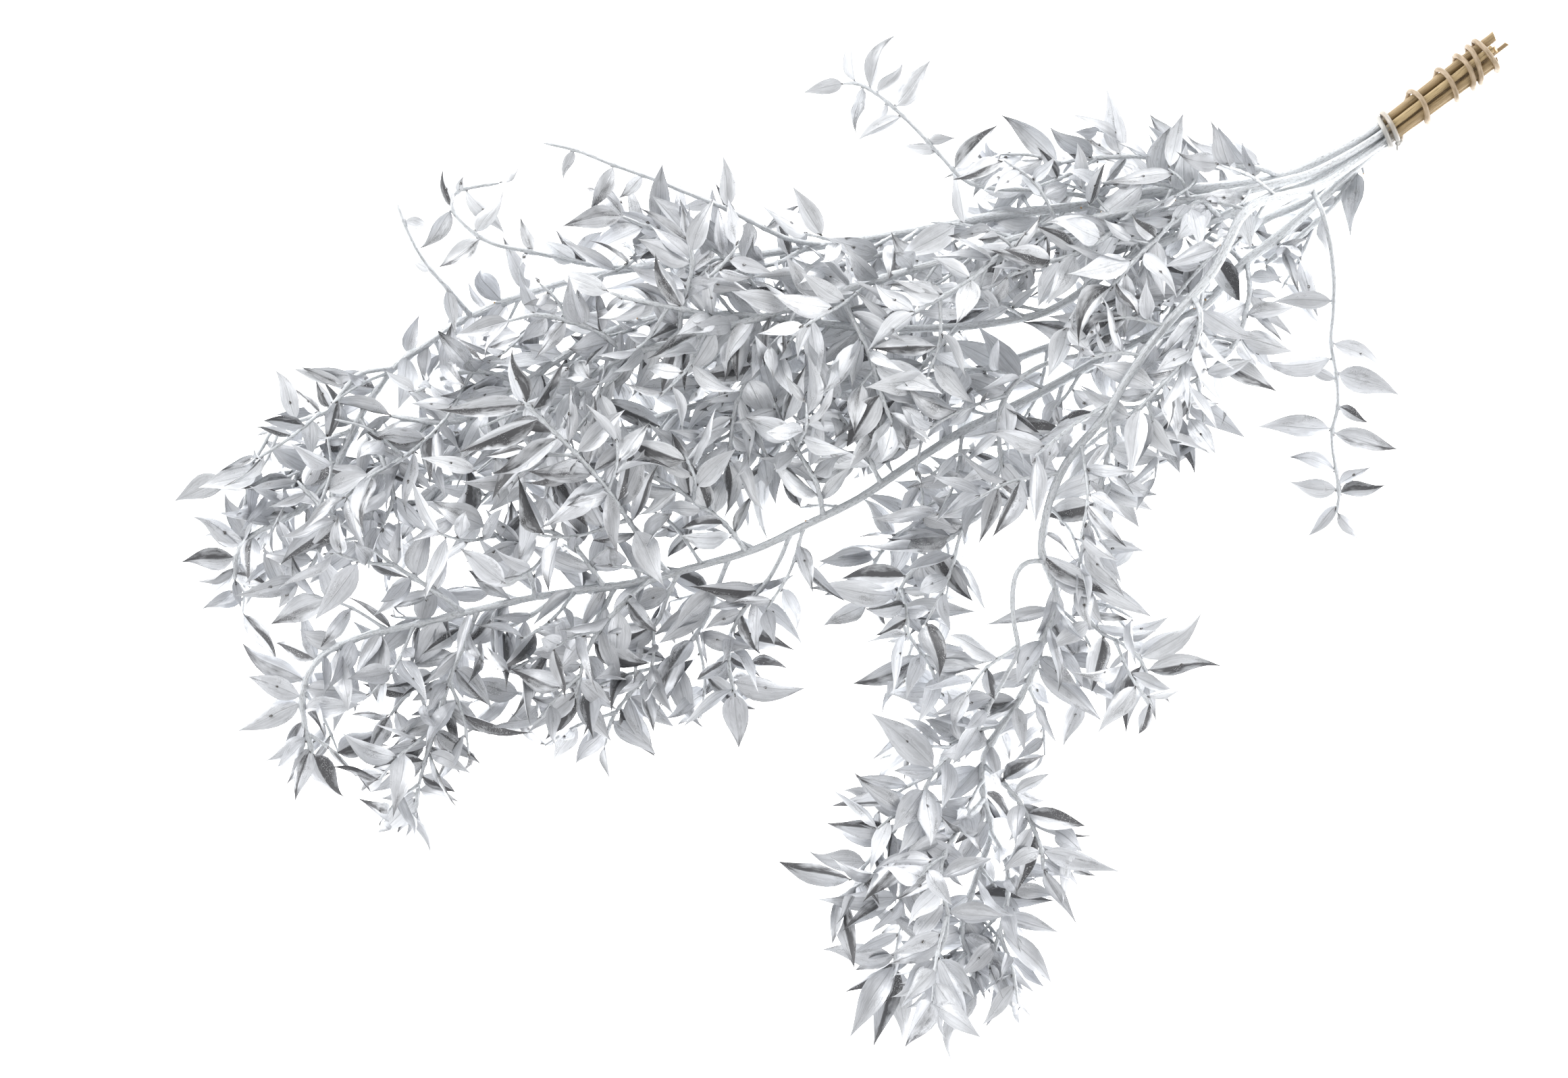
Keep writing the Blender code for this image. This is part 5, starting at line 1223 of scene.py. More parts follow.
# Thickness at the root in mm, and its share at the tip; and below, the least, most and likeliest fold
RIB_THICKNESS = (0.5, 0.35)
HOOK_FROM = 0.55
FLOOR_GAP = 0.1
FOLD = (0.08, 0.85, 0.42)
FOLD_UNLIKE = 0.14
WRUNG_SHARE, BOWED_SHARE, HOOKED_SHARE = 0.1, 0.15, 0.25
TWIST_GAIN = 1.7
ACROSS = np.array([0.0, 1.0, 0.0, -1.0])
FACING = np.array([1.0, 0.0, -1.0, 0.0])


def blade_form(draw, leaf):
    """How one blade dried: fold of each half and roll round its own axis in radians, twist, curl and sway as
    shares of its length, waves of its edges in mm, how much it shrank in width, and the two powers that
    shape its outline. A few twisted or curled much more than the rest."""
    fold = draw.choice((-1, 1, 1)) * draw.triangular(*FOLD)
    roll = 0.8 if "more" in leaf else 0.35
    wrung = 1.6 if draw.random() < WRUNG_SHARE else 0.25
    bowed = draw.choice((-0.1, 0.12)) if draw.random() < BOWED_SHARE else 0.0
    hooked = 0.9 if draw.random() < HOOKED_SHARE else 0.35
    slimmest = 0.7 if "more" in leaf else 0.92
    right, left = [fold + draw.uniform(-FOLD_UNLIKE, FOLD_UNLIKE) for _ in range(2)]
    return {"fold": np.array([0, right, 0, left]),
            "roll": draw.uniform(-roll, roll), "slim": draw.uniform(slimmest, 1.22),
            "twist": leaf["twist"] * TWIST_GAIN + draw.uniform(-wrung, wrung),
            "arch": draw.uniform(-0.02, 0.035) + bowed,
            "hook_up": draw.uniform(-0.45, 0.45), "hook_side": draw.uniform(-hooked, hooked),
            "sway": draw.uniform(-0.018, 0.018), "wave": draw.uniform(0.1, 0.75),
            "waves": draw.uniform(1.1, 2.6),
            "phase": np.array([0, draw.uniform(0, 6), 0, draw.uniform(0, 6)]),
            "powers": (draw.uniform(0.68, 0.92), draw.uniform(1.25, 1.9))}


def blade_rings(leaf, form, count):
    """With u from 0 at the root to 1 at the tip, closer together at both ends:
    half width = width / 2 * u^a * (1 - u)^b over its own peak, plus a thin stalk;
    middle = root + u * reach + (arch * 4u(1 - u) + hook * (u - 0.55)^2) * length * normal, and so sideways;
    each half rises from the rib by its fold, and each edge by a sine wave. A blade that would dip under the
    surface is raised, more and more towards its lowest ring. Gives the rings and both poles."""
    u = (1 - np.cos(np.pi * np.arange(count + 2) / (count + 1))) / 2
    reach, length, ahead, normal, side = leaf_axes(leaf)
    turn = form["roll"] + form["twist"] * (u - 0.4)
    out = np.outer(np.cos(turn), side) + np.outer(np.sin(turn), normal)
    up = np.outer(np.cos(turn), normal) - np.outer(np.sin(turn), side)
    hook = np.clip(u - HOOK_FROM, 0, 1) ** 2 * length
    lift = (leaf["arch"] + form["arch"]) * length * 4 * u * (1 - u) + form["hook_up"] * hook
    drift = form["sway"] * length * np.sin(2 * np.pi * u) + form["hook_side"] * hook
    middle = leaf["root"] + np.outer(u, reach) + np.outer(lift, normal) + np.outer(drift, side)
    rise, fall = form["powers"]
    open_share = np.clip((u - STALK_SHARE) / (1 - STALK_SHARE), 0, 1)
    peak = (rise / (rise + fall)) ** rise * (fall / (rise + fall)) ** fall
    outline = open_share**rise * (1 - open_share) ** fall / peak
    half = 0.5 * form["slim"] * leaf["width"] * outline + min(STALK_RADIUS, 0.2 * leaf["width"]) * (1 - u)
    thick = form.get("thick", RIB_THICKNESS[0]) * (1 - (1 - RIB_THICKNESS[1]) * u)
    wave = form["wave"] * outline[:, None] * np.sin(2 * np.pi * form["waves"] * u[:, None] + form["phase"])
    spread = half[:, None] * ACROSS * np.cos(form["fold"])
    height = np.abs(ACROSS) * (half[:, None] * np.sin(form["fold"]) + wave) + 0.5 * thick[:, None] * FACING
    rings = middle[:, None] + spread[:, :, None] * out[:, None] + height[:, :, None] * up[:, None]
    lowest = rings[..., 2].min(axis=1)
    sunk = int(lowest.argmin())
    if 0 < sunk and lowest[sunk] < FLOOR_GAP:
        rings[..., 2] += ((FLOOR_GAP - lowest[sunk]) * np.minimum(1, u / u[sunk]))[:, None]
    root = middle[0] - ahead * min(LEAF_ROOT_SINK, 0.1 * length)
    return rings[1:-1], root, rings[-1, 0], u[1:-1] * length, up[1:-1]


def add_blade(skin, leaf, form, count, finish, tone, dark, painted_light):
    """One blade. Its pattern is (along in mm, across from -1 to 1, tone), and its second vector is (share of
    its length, how dark its marks of thin paint and painted shade are, how much its paint is lightened as
    painted light)."""
    rings, root, tip, along, up = blade_rings(leaf, form, count)
    length = np.linalg.norm(leaf["tip"] - leaf["root"])
    spread = np.tile(ACROSS, (count, 1))
    pattern = np.stack([np.tile(along[:, None], 4), spread, np.full_like(spread, tone)], axis=-1)
    wear = np.stack([np.tile(along[:, None] / length, 4), np.full_like(spread, dark),
                     np.full_like(spread, painted_light)], axis=-1)
    keen = np.ones(count * 4 + 2, bool)
    keen[1:-1] = np.tile(ACROSS != 0, count)
    skin.add((count, 4), with_poles(root, rings, tip), with_poles((0, 0, tone), pattern, (length, 0, tone)),
             with_poles((0, dark, painted_light), wear, (1, dark, painted_light)), finish, keen)
    return rings, along, up

# %% [markdown]
# ## Bracts, scale leaves and stubs
#
# The true leaves of ruscus are brown papery scales, one under each blade, and its small flowers sit in a
# scale on the blade's middle rib. Both dried to dark crusts that the paint only half covers, and they give
# the silver its specks. A few twigs were snapped off short. All three reuse the shells above.

# %% Small parts on the blades and twigs
# Length and width of a bract and a scale; a stub's radius and its shortest and longest reach
BRACT_SHARE = 0.13
BRACT_SIZE = (2.1, 1.2)
SCALE_SIZE = (2.9, 1.3)
STUB_COUNT = 3
STUB_SIZE = (0.75, 2.5, 5.5)
STUB_TAPER = (1.3, 1.2, 1.0, 0.95, 0.8)
STUB_SIDES = 6
STUB_LEAN = (0.75, 0.65)
SCALE_VARIES = (0.75, 1.2)
SCALE_THICKNESS = 0.6


def plain_form(thick):
    """A small flat scale's form: no twist, wave or curl."""
    flat = np.zeros(4)
    return {"fold": flat + 0.3 * np.abs(ACROSS), "roll": 0.0, "slim": 1.0, "twist": 0.0, "arch": 0.1,
            "hook_up": 0.0, "hook_side": 0.0, "sway": 0.0, "wave": 0.0, "waves": 1.0, "phase": flat,
            "powers": (0.6, 0.9), "thick": thick}


def add_scale(skin, root, direction, normal, size, draw, finish):
    """A scale of that size, rooted there."""
    length, width = np.array(size) * draw.uniform(*SCALE_VARIES)
    scale = {"root": root, "tip": root + direction * length, "normal": normal, "width": width, "arch": 0.0}
    form = plain_form(SCALE_THICKNESS)
    add_blade(skin, scale, form, BRACT_RINGS, finish, draw.random(), draw.random(), 0.0)


def add_stub(skin, route, at, draw):
    """What is left of a snapped twig: a short tube, at a slant to its stem, painted but for its end."""
    root, _ = point_at(route, at)
    ahead, out = square_to(route, at, draw.uniform(0, math.pi))
    radius, shortest, longest = STUB_SIZE
    reach = radius_at(route, at) + draw.uniform(shortest, longest)
    path = root + np.outer(np.linspace(0, reach, len(STUB_TAPER)), STUB_LEAN[0] * out + STUB_LEAN[1] * ahead)
    radii = np.tile((np.array(STUB_TAPER) * radius)[:, None], STUB_SIDES)
    shell = with_poles(path[0], tube_rings(path, radii), path[-1])
    # Its wear: far on the painted side, on the rim, of middling tone
    skin.add(radii.shape, shell, (0.3, 0.3, at), (-99, 1, 0.5), np.array([BARK] * len(STUB_TAPER) + [CUT]))

# %% [markdown]
# ## Materials
#
# Each finish is a tree of nodes that reads the vectors stored on the skin, so its pattern follows every bend
# of the surface. Colours are given as sRGB hex, as a picture editor shows them, and turned to the linear
# values that the shader works with. One helper adds any node: its settings, then its inputs, each a value or
# another node's output.

# %% Helpers for materials
# Settings of a node that blends the colours in sockets 6 and 7, and of a range that eases in and out
BLEND = {"output": 2, "data_type": "RGBA"}
EASED = {"interpolation_type": "SMOOTHSTEP"}


def colour(code):
    """Linear RGBA of an sRGB hex colour: c / 12.92 up to 0.04045, and ((c + 0.055) / 1.055)^2.4 over it."""
    shares = [int(code[k:k + 2], 16) / 255 for k in (0, 2, 4)]
    return (*[c / 12.92 if c <= 0.04045 else ((c + 0.055) / 1.055) ** 2.4 for c in shares], 1.0)


def fill(tree, node, inputs):
    """Sets each of the node's inputs, or links it where the value is another node's output."""
    for socket, value in inputs.items():
        if isinstance(value, bpy.types.NodeSocket):
            tree.links.new(value, node.inputs[socket])
        else:
            node.inputs[socket].default_value = value


def add(tree, kind, inputs=None, output=0, **settings):
    """Adds a node with its settings and its inputs, and gives one of its outputs."""
    node = tree.nodes.new("ShaderNode" + kind)
    for name, value in settings.items():
        setattr(node, name, value)
    fill(tree, node, inputs or {})
    return node.outputs[output]


def stored(tree, name):
    """The three numbers of a vector that the skin stores at each point."""
    vector = add(tree, "Attribute", output="Vector", attribute_name=name)
    return list(add(tree, "SeparateXYZ", {0: vector}).node.outputs)


def new_material(name):
    """An empty material with one Principled shader, and its tree."""
    material = bpy.data.materials.new(name)
    material.use_nodes = True
    return material, material.node_tree


def finished(material, base, metallic, roughness, height, relief_mm, strength):
    """The material with its shader's inputs filled, and a bump of relief_mm where height goes from 0 to 1."""
    tree = material.node_tree
    normal = add(tree, "Bump", {"Height": height, "Distance": relief_mm * MM, "Strength": strength})
    fill(tree, tree.nodes["Principled BSDF"],
         {"Base Color": base, "Metallic": metallic, "Roughness": roughness, "Normal": normal})
    return material

# %% [markdown]
# ### Silver paint on a blade
#
# Spray paint is ground aluminium in a clear binder. It looks like soft metal: light grey, mostly mirror, with
# a broad highlight. It is thin here, so the blade's own fine nerves show as faint ridges along it. On some
# blades a streaky dark grey is painted on one half, along its rib and at its tip: partly the dark, dry blade
# showing where it was turned from the nozzle and took little paint, partly painted shade on the half of the
# fold that turns from the light.

# %% Silver painted blade
RIB_SHARE = 0.07
CRINKLE_MM = 2.2
GLINT_MM = 0.5
BLADE_SHIFT = 41.0
BLADE_RELIEF_MM = 0.24


def silver_blade():
    material, tree = new_material("silver_painted_blade")
    along, across, tone = stored(tree, "pattern")
    share, dark, painted_light = stored(tree, "wear")
    place = add(tree, "TexCoord", output="Object")
    shift = add(tree, "Math", {0: tone, 1: BLADE_SHIFT}, operation="MULTIPLY")

    def stretched(length, stripes, detail):
        """Noise drawn out along the blade: its length in mm, and how many stripes lie across half a blade."""
        spot = add(tree, "CombineXYZ", {0: add(tree, "Math", {0: along, 1: 1 / length}, operation="MULTIPLY"),
                                        1: add(tree, "Math", {0: across, 1: stripes}, operation="MULTIPLY"),
                                        2: shift})
        return add(tree, "TexNoise", {"Vector": spot, "Scale": 1.0, "Detail": detail, "Roughness": 0.6})

    streaks, patches, nerves = stretched(9, 3.5, 4.0), stretched(12, 0.8, 2.0), stretched(20, 9.0, 2.0)
    off_rib = add(tree, "Math", {0: across}, operation="ABSOLUTE")
    rib = add(tree, "MapRange", {0: off_rib, 2: RIB_SHARE, 3: 1.0, 4: 0.0}, **EASED)
    crinkle = add(tree, "TexNoise", {"Vector": place, "Scale": 1 / (CRINKLE_MM * MM), "Detail": 3.0})
    # The dark half of a blade, left or right of the rib by its tone: partly thin paint, partly painted shade
    sided = add(tree, "Math", {0: across, 1: add(tree, "Math", {0: add(
        tree, "Math", {0: tone, 1: 0.5}, operation="SUBTRACT")}, operation="SIGN")}, operation="MULTIPLY")
    inner = add(tree, "MapRange", {0: sided, 1: -0.15, 2: 0.12}, **EASED)
    outer = add(tree, "MapRange", {0: sided, 1: 0.15, 2: 1.0, 3: 1.0, 4: 0.35})
    half = add(tree, "Math", {0: inner, 1: outer}, operation="MULTIPLY")
    marked = add(tree, "MapRange", {0: dark, 1: 0.68, 2: 0.93, 4: 0.72})
    # Darker at the tip of the darker blades too: thin paint and painted shade
    tip = add(tree, "MapRange", {0: share, 1: 0.55, 2: 1.0, 4: 0.5}, **EASED)
    tipped = add(tree, "Math", {0: tip, 1: add(tree, "MapRange", {0: dark, 1: 0.35, 2: 0.8, 3: 0.1, 4: 1.0})},
                 operation="MULTIPLY")
    # Where the dark marks lie, on one half and at the tip: thin paint and painted shade
    thin = add(tree, "Math", {0: half, 1: marked, 2: tipped}, operation="MULTIPLY_ADD")
    edge = add(tree, "Math", {0: streaks, 1: add(tree, "Math", {0: patches, 1: 0.9, 2: thin},
                                                 operation="MULTIPLY_ADD")}, operation="ADD")
    # How much of the dark grey shows, in streaks and patches: thin paint and painted shade
    thin_paint_and_shade = add(tree, "MapRange", {0: edge, 1: 1.04, 2: 1.5, 4: 0.95})
    # A paler grey for the blades that painted light lifts
    lightened_grey = add(tree, "Mix", {0: painted_light, 6: colour("C6C8CC"), 7: colour("E0E2E5")}, **BLEND)
    # A second random number for each blade, drawn out of its tone
    lot = add(tree, "Math", {0: add(tree, "Math", {0: tone, 1: 7.3}, operation="MULTIPLY")},
              operation="FRACT")
    varied = add(tree, "VectorMath", {0: lightened_grey, "Scale": add(tree, "MapRange", {0: lot, 3: 0.87, 4: 1.15})},
                 operation="SCALE")
    # Lighter and darker along streaks and nerves, by the same noise that raises the relief: partly streaky
    # paint, partly painted light and shade on the ridges
    shade = add(tree, "MapRange", {0: add(tree, "Math", {0: streaks, 1: nerves}, operation="ADD"),
                                   1: 0.8, 2: 1.2, 3: 0.86, 4: 1.08})
    painted = add(tree, "VectorMath", {0: varied, "Scale": shade}, operation="SCALE")
    # Darker along the rib, where the relief sinks into a groove: painted shade in the crease
    rib_shaded = add(tree, "Mix", {0: add(tree, "Math", {0: rib, 1: 0.4}, operation="MULTIPLY"), 6: painted,
                               7: colour("85868A")}, **BLEND)
    # Dark grey mixed in by those marks: thin paint and painted shade
    thin_and_shaded = add(tree, "Mix", {0: thin_paint_and_shade, 6: rib_shaded, 7: colour("4B4B4D")}, **BLEND)
    # Painted glints, near-white specks for highlights on tiny drops of paint, and bare dark pinpricks, in
    # clusters
    glint_and_prick_noise = add(tree, "TexNoise", {"Vector": place, "Scale": 1 / (GLINT_MM * MM), "Detail": 1.0})
    cluster = add(tree, "MapRange", {0: patches, 1: 0.52, 2: 0.66, 4: 0.6})
    painted_glint = add(tree, "Math", {0: cluster, 1: add(tree, "MapRange", {0: glint_and_prick_noise, 1: 0.6, 2: 0.68})},
                operation="MULTIPLY")
    prick = add(tree, "Math", {0: cluster, 1: add(tree, "MapRange", {0: glint_and_prick_noise, 1: 0.36, 2: 0.3})},
                operation="MULTIPLY")
    pricked = add(tree, "Mix", {0: prick, 6: thin_and_shaded, 7: colour("57575A")}, **BLEND)
    # Near-white where the painted glints are
    base = add(tree, "Mix", {0: painted_glint, 6: pricked, 7: colour("EAEBED")}, **BLEND)
    metallic = add(tree, "MapRange", {0: thin_paint_and_shade, 3: 0.68, 4: 0.4})
    roughness = add(tree, "MapRange", {0: crinkle, 1: 0.3, 2: 0.7, 3: 0.38, 4: 0.5})
    glossy = add(tree, "Math", {0: painted_glint, 1: -0.12, 2: roughness}, operation="MULTIPLY_ADD")
    relief = add(tree, "Math", {0: nerves, 1: 0.4, 2: add(tree, "Math", {0: streaks, 1: 0.5, 2: add(
        tree, "Math", {0: crinkle, 1: 0.6}, operation="MULTIPLY")}, operation="MULTIPLY_ADD")},
        operation="MULTIPLY_ADD")
    grooved = add(tree, "Math", {0: rib, 1: -0.4, 2: relief}, operation="MULTIPLY_ADD")
    return finished(material, base, metallic, glossy, grooved, BLADE_RELIEF_MM, 0.7)

# %% [markdown]
# ### Painted bark and bare wood
#
# Bark under the paint is ridged lengthwise and grainy, and the paint on it is patchy. Past the band the spray
# stops in a ragged line, and the bare stem is straw: tan, dull, with shrunken grooves. In the grooves, where
# the relief sinks, both are painted darker as painted shade. Both are one material, mixed by how far along
# the bundle a point is.

# %% Silver bark that turns to bare wood
PAINT_END = (3.0, 9.0)
PAINT_RAGGED = 14.0
GROOVE_MM = 0.9
GROOVE_LENGTH_MM = 14.0
GRAIN_MM = 0.5
BARK_SHIFT = 37.0
BARK_RELIEF_MM = 0.6


def silver_bark():
    material, tree = new_material("silver_painted_bark")
    pattern = add(tree, "Attribute", output="Vector", attribute_name="pattern")
    past, _, tone = stored(tree, "wear")
    # Grooves run along the stem, each stem's at another place in the noise
    stretch = (1 / GROOVE_MM, 1 / GROOVE_MM, 1 / GROOVE_LENGTH_MM)
    long_place = add(tree, "VectorMath", {0: pattern, 1: stretch}, operation="MULTIPLY")
    shifted = add(tree, "VectorMath", {0: long_place, 1: add(tree, "CombineXYZ", {
        2: add(tree, "Math", {0: tone, 1: BARK_SHIFT}, operation="MULTIPLY")})}, operation="ADD")
    grooves = add(tree, "TexNoise", {"Vector": shifted, "Scale": 1.0, "Detail": 4.0, "Roughness": 0.6})
    grain_place = add(tree, "VectorMath", {0: pattern, 1: (1 / GRAIN_MM, 1 / GRAIN_MM, 0.3 / GRAIN_MM)},
                      operation="MULTIPLY")
    grain = add(tree, "TexNoise", {"Vector": grain_place, "Scale": 1.0, "Detail": 3.0})
    edge = add(tree, "Math", {0: grooves, 1: PAINT_RAGGED, 2: add(
        tree, "Math", {0: past, 1: PAINT_RAGGED / 2}, operation="SUBTRACT")}, operation="MULTIPLY_ADD")
    bare = add(tree, "MapRange", {0: edge, 1: PAINT_END[0], 2: PAINT_END[1]})
    speckle = add(tree, "MapRange", {0: grain, 1: 0.5, 2: 0.72, 4: 0.6})
    painted = add(tree, "Mix", {0: speckle, 6: colour("C8CBCE"), 7: colour("6E7072")}, **BLEND)
    # Darker in the grooves, where the relief sinks: painted shade, on the silver and on the straw
    groove_shade = add(tree, "MapRange", {0: grooves, 1: 0.34, 2: 0.48, 3: 0.9, 4: 0.0})
    silver = add(tree, "Mix", {0: add(tree, "Math", {0: groove_shade, 1: 0.35}, operation="MULTIPLY"), 6: painted,
                               7: colour("737473")}, **BLEND)
    straw = add(tree, "Mix", {0: tone, 6: colour("AE9870"), 7: colour("8A7454")}, **BLEND)
    wood = add(tree, "Mix", {0: groove_shade, 6: straw, 7: colour("73603F")}, **BLEND)
    base = add(tree, "Mix", {0: bare, 6: silver, 7: wood}, **BLEND)
    metallic = add(tree, "MapRange", {0: bare, 3: 0.6, 4: 0.0})
    roughness = add(tree, "MapRange", {0: bare, 3: 0.44, 4: 0.62})
    relief = add(tree, "Math", {0: grain, 1: 0.35, 2: grooves}, operation="MULTIPLY_ADD")
    return finished(material, base, metallic, roughness, relief, BARK_RELIEF_MM, 0.9)

# %% [markdown]
# ### Bracts, cut wood and rubber
#
# A bract is a brown crust that only caught paint on its high spots. A cut end shows pale pith inside a
# browner ring. The band is natural rubber: tan, dull, faintly waxy, and silver on the turns that the spray
# reached. Its tan is painted lighter where its ripple rises, a painted highlight.

# %% The small finishes
def crusty_bract():
    material, tree = new_material("half_painted_bract")
    place = add(tree, "TexCoord", output="Object")
    crust = add(tree, "TexNoise", {"Vector": place, "Scale": 1 / (0.7 * MM), "Detail": 3.0})
    caught = add(tree, "MapRange", {0: crust, 1: 0.5, 2: 0.6})
    base = add(tree, "Mix", {0: caught, 6: colour("4C4945"), 7: colour("C2C3C6")}, **BLEND)
    metallic = add(tree, "MapRange", {0: caught, 3: 0.1, 4: 0.6})
    return finished(material, base, metallic, 0.55, crust, 0.4, 1.0)


def cut_wood():
    material, tree = new_material("cut_wood")
    pattern = add(tree, "Attribute", output="Vector", attribute_name="pattern")
    share = stored(tree, "wear")[1]
    fibres = add(tree, "TexNoise", {"Vector": pattern, "Scale": 2.2, "Detail": 3.0})
    uneven = add(tree, "Math", {0: fibres, 1: 0.35, 2: share}, operation="MULTIPLY_ADD")
    ring = add(tree, "MapRange", {0: uneven, 1: 0.5, 2: 1.15})
    wood = add(tree, "Mix", {0: ring, 6: colour("E9DCC0"), 7: colour("A9844F")}, **BLEND)
    pits = add(tree, "MapRange", {0: fibres, 1: 0.56, 2: 0.66, 4: 0.7})
    base = add(tree, "Mix", {0: pits, 6: wood, 7: colour("7A5C38")}, **BLEND)
    return finished(material, base, 0.0, 0.75, fibres, 0.3, 0.8)


def band_rubber():
    material, tree = new_material("natural_rubber")
    pattern = add(tree, "Attribute", output="Vector", attribute_name="pattern")
    past = stored(tree, "wear")[0]
    long_place = add(tree, "VectorMath", {0: pattern, 1: (1.0, 1.0, 0.25)}, operation="MULTIPLY")
    ripple = add(tree, "TexNoise", {"Vector": long_place, "Scale": 1.0, "Detail": 3.0})
    edge = add(tree, "Math", {0: ripple, 1: 9.0, 2: past}, operation="MULTIPLY_ADD")
    bare = add(tree, "MapRange", {0: edge, 1: 12.0, 2: 18.0})
    # The tan is lighter where the ripple rises in the relief: a painted highlight
    rubber = add(tree, "Mix", {0: add(tree, "MapRange", {0: ripple, 1: 0.35, 2: 0.65}),
                               6: colour("8A785F"), 7: colour("AA967D")}, **BLEND)
    base = add(tree, "Mix", {0: bare, 6: colour("ABA9A5"), 7: rubber}, **BLEND)
    metallic = add(tree, "MapRange", {0: bare, 3: 0.5, 4: 0.0})
    roughness = add(tree, "MapRange", {0: bare, 3: 0.45, 4: 0.38})
    return finished(material, base, metallic, roughness, ripple, 0.25, 0.7)


skin_materials = [silver_bark(), silver_blade(), crusty_bract(), cut_wood()]
rubber = band_rubber()
print("Materials:", ", ".join(material.name for material in (*skin_materials, rubber)))

# %% [markdown]
# ## The seven leafy stems
#
# Every stem is one piece, as in the CAD model: its bark and twigs, its blades, and their bracts and scales,
# all in one mesh with four materials. Where a shell starts inside another, the overlap is hidden, as on a
# real joint of twig and stem. Some sprays are painted paler, as painted light: in the dense middle it lifts
# them out of their shade, and at the edges of the bunch it washes them with light.

# %% Grow each stem's skin
# Share by which each twig's blades are painted paler, as painted light, from 0 to 1. DARK_POWER: the lower,
# the more blades get dark marks of thin paint and painted shade.
PAINTED_LIGHT = {"twig_top_spray": 0.55, "twig_top_arc": 0.5, "twig_left_fork": 0.8, "twig_left_high": 0.4,
        "twig_left_bare": 0.6, "twig_upper_left": 0.4, "stem_short": 0.4,
        "twig_near_tie": 0.5, "twig_middle": 0.7, "twig_centre": 0.7, "stem_middle": 0.6, "stem_high": 0.6,
        "stem_low": 0.6, "twig_right": 0.4, "twig_beside": 0.4, "twig_arc_down": 0.3, "twig_under_arc": 0.4}
DARK_POWER = {"twig_foreground": 0.3, "twig_lower_left": 0.5, "twig_upper_": 0.7, "twig_left_": 0.8,
              "stem_long_lower": 0.7, "twig_lower_right_2": 0.8}
PAINTED_LIGHT_VARIES = 0.35
PLAIN_DARK_POWER = 1.35
SCALE_ROOT = 0.5
SCALE_LEAN = (0.8, 0.5, 1.05)
BRACT_PLACE = (0.34, 0.46)
BRACT_LEAN = (0.94, 0.34)
STUB_PLACES = (0.25, 0.8)


def by_place(table, name, otherwise):
    """The table's value for the twigs whose names start like that."""
    return next((value for start, value in table.items() if name.startswith(start)), otherwise)


def seat(leaf, path, even):
    """Moves a blade's root to the nearest point of its twig's full curve, and gives that point's distance
    along it."""
    k = int(np.linalg.norm(path - leaf["root"], axis=1).argmin())
    leaf["root"] = path[k]
    return even[k]


def add_leaf(skin, leaf, route):
    """A blade, the scale under it, and on some a bract on its rib."""
    draw = random.Random(f"{leaf['route']} {leaf['at']:.2f} form")
    form = blade_form(draw, leaf)
    # How much paler this blade is painted, as painted light
    painted_light = min(1.0, by_place(PAINTED_LIGHT, leaf["route"], 0.0) + PAINTED_LIGHT_VARIES * draw.random())
    dark = draw.random() ** by_place(DARK_POWER, leaf["route"], PLAIN_DARK_POWER)
    rings, along, up = add_blade(skin, leaf, form, BLADE_RINGS, BLADE, draw.random(), dark, painted_light)
    _, ahead = point_at(route, leaf["at"])
    _, length, out, _, _ = leaf_axes(leaf)
    lean = (SCALE_LEAN[0] * ahead + SCALE_LEAN[1] * out) / SCALE_LEAN[2]
    add_scale(skin, leaf["root"] + SCALE_ROOT * out, lean, out, SCALE_SIZE, draw, BRACT)
    if draw.random() < BRACT_SHARE:
        k = int(abs(along / length - draw.uniform(*BRACT_PLACE)).argmin())
        lean = BRACT_LEAN[0] * out + BRACT_LEAN[1] * up[k]
        add_scale(skin, rings[k, 0], lean, up[k], BRACT_SIZE, draw, BRACT)


def grow_stem(name):
    """One leafy stem as one piece: all its routes' bark, then their blades, then the stem's stubs."""
    skin = Skin()
    for route in routes.values():
        if route["stem"] != name:
            continue
        path, even = route_path(route)
        own = [leaf for leaf in leaves if leaf["route"] == route["name"]]
        add_bark(skin, route, [seat(leaf, path, even) for leaf in own])
        for leaf in own:
            add_leaf(skin, leaf, route)
        draw = random.Random(route["name"] + " stubs")
        for _ in range(0 if route["parent"] else STUB_COUNT):
            add_stub(skin, route, draw.uniform(*STUB_PLACES) * route["along"][-1], draw)
    piece = skin.mesh_object(name + "_skin", skin_materials)
    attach(piece, "root")
    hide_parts(name)
    print(piece.name, len(skin.faces), "faces")


for name in STEMS:
    grow_stem(name)

# %% [markdown]
# ## The elastic band
#
# The band is wound nearly seven times, slanting along the bundle, and its turns crowd at both ends. The same
# path as in the CAD model is swept in finer steps with a rounder section. Its knot is drawn as what it is, an
# overhand knot, which a trefoil curve describes, pulled tight, with a short tail.

# %% Band and knot
BAND_STEP_DEG = 5.0
BAND_SIDES = 12
BAND_THICKNESS = 1.4
BAND_END_SHRINK = (0.55, 0.9)
BAND_END_POINT = 0.4
KNOT_LAP = 2.42
KNOT_RISE = 0.9
KNOT_SIZE = 0.52
KNOT_THICKNESS = 0.8
KNOT_START = 0.1
KNOT_POINTS = 46
TAIL_LENGTH = 4.5
TAIL_POINTS = 8
TAIL_BEND = (0.6, 0.7, 0.5)
TAIL_THINNER = 0.75


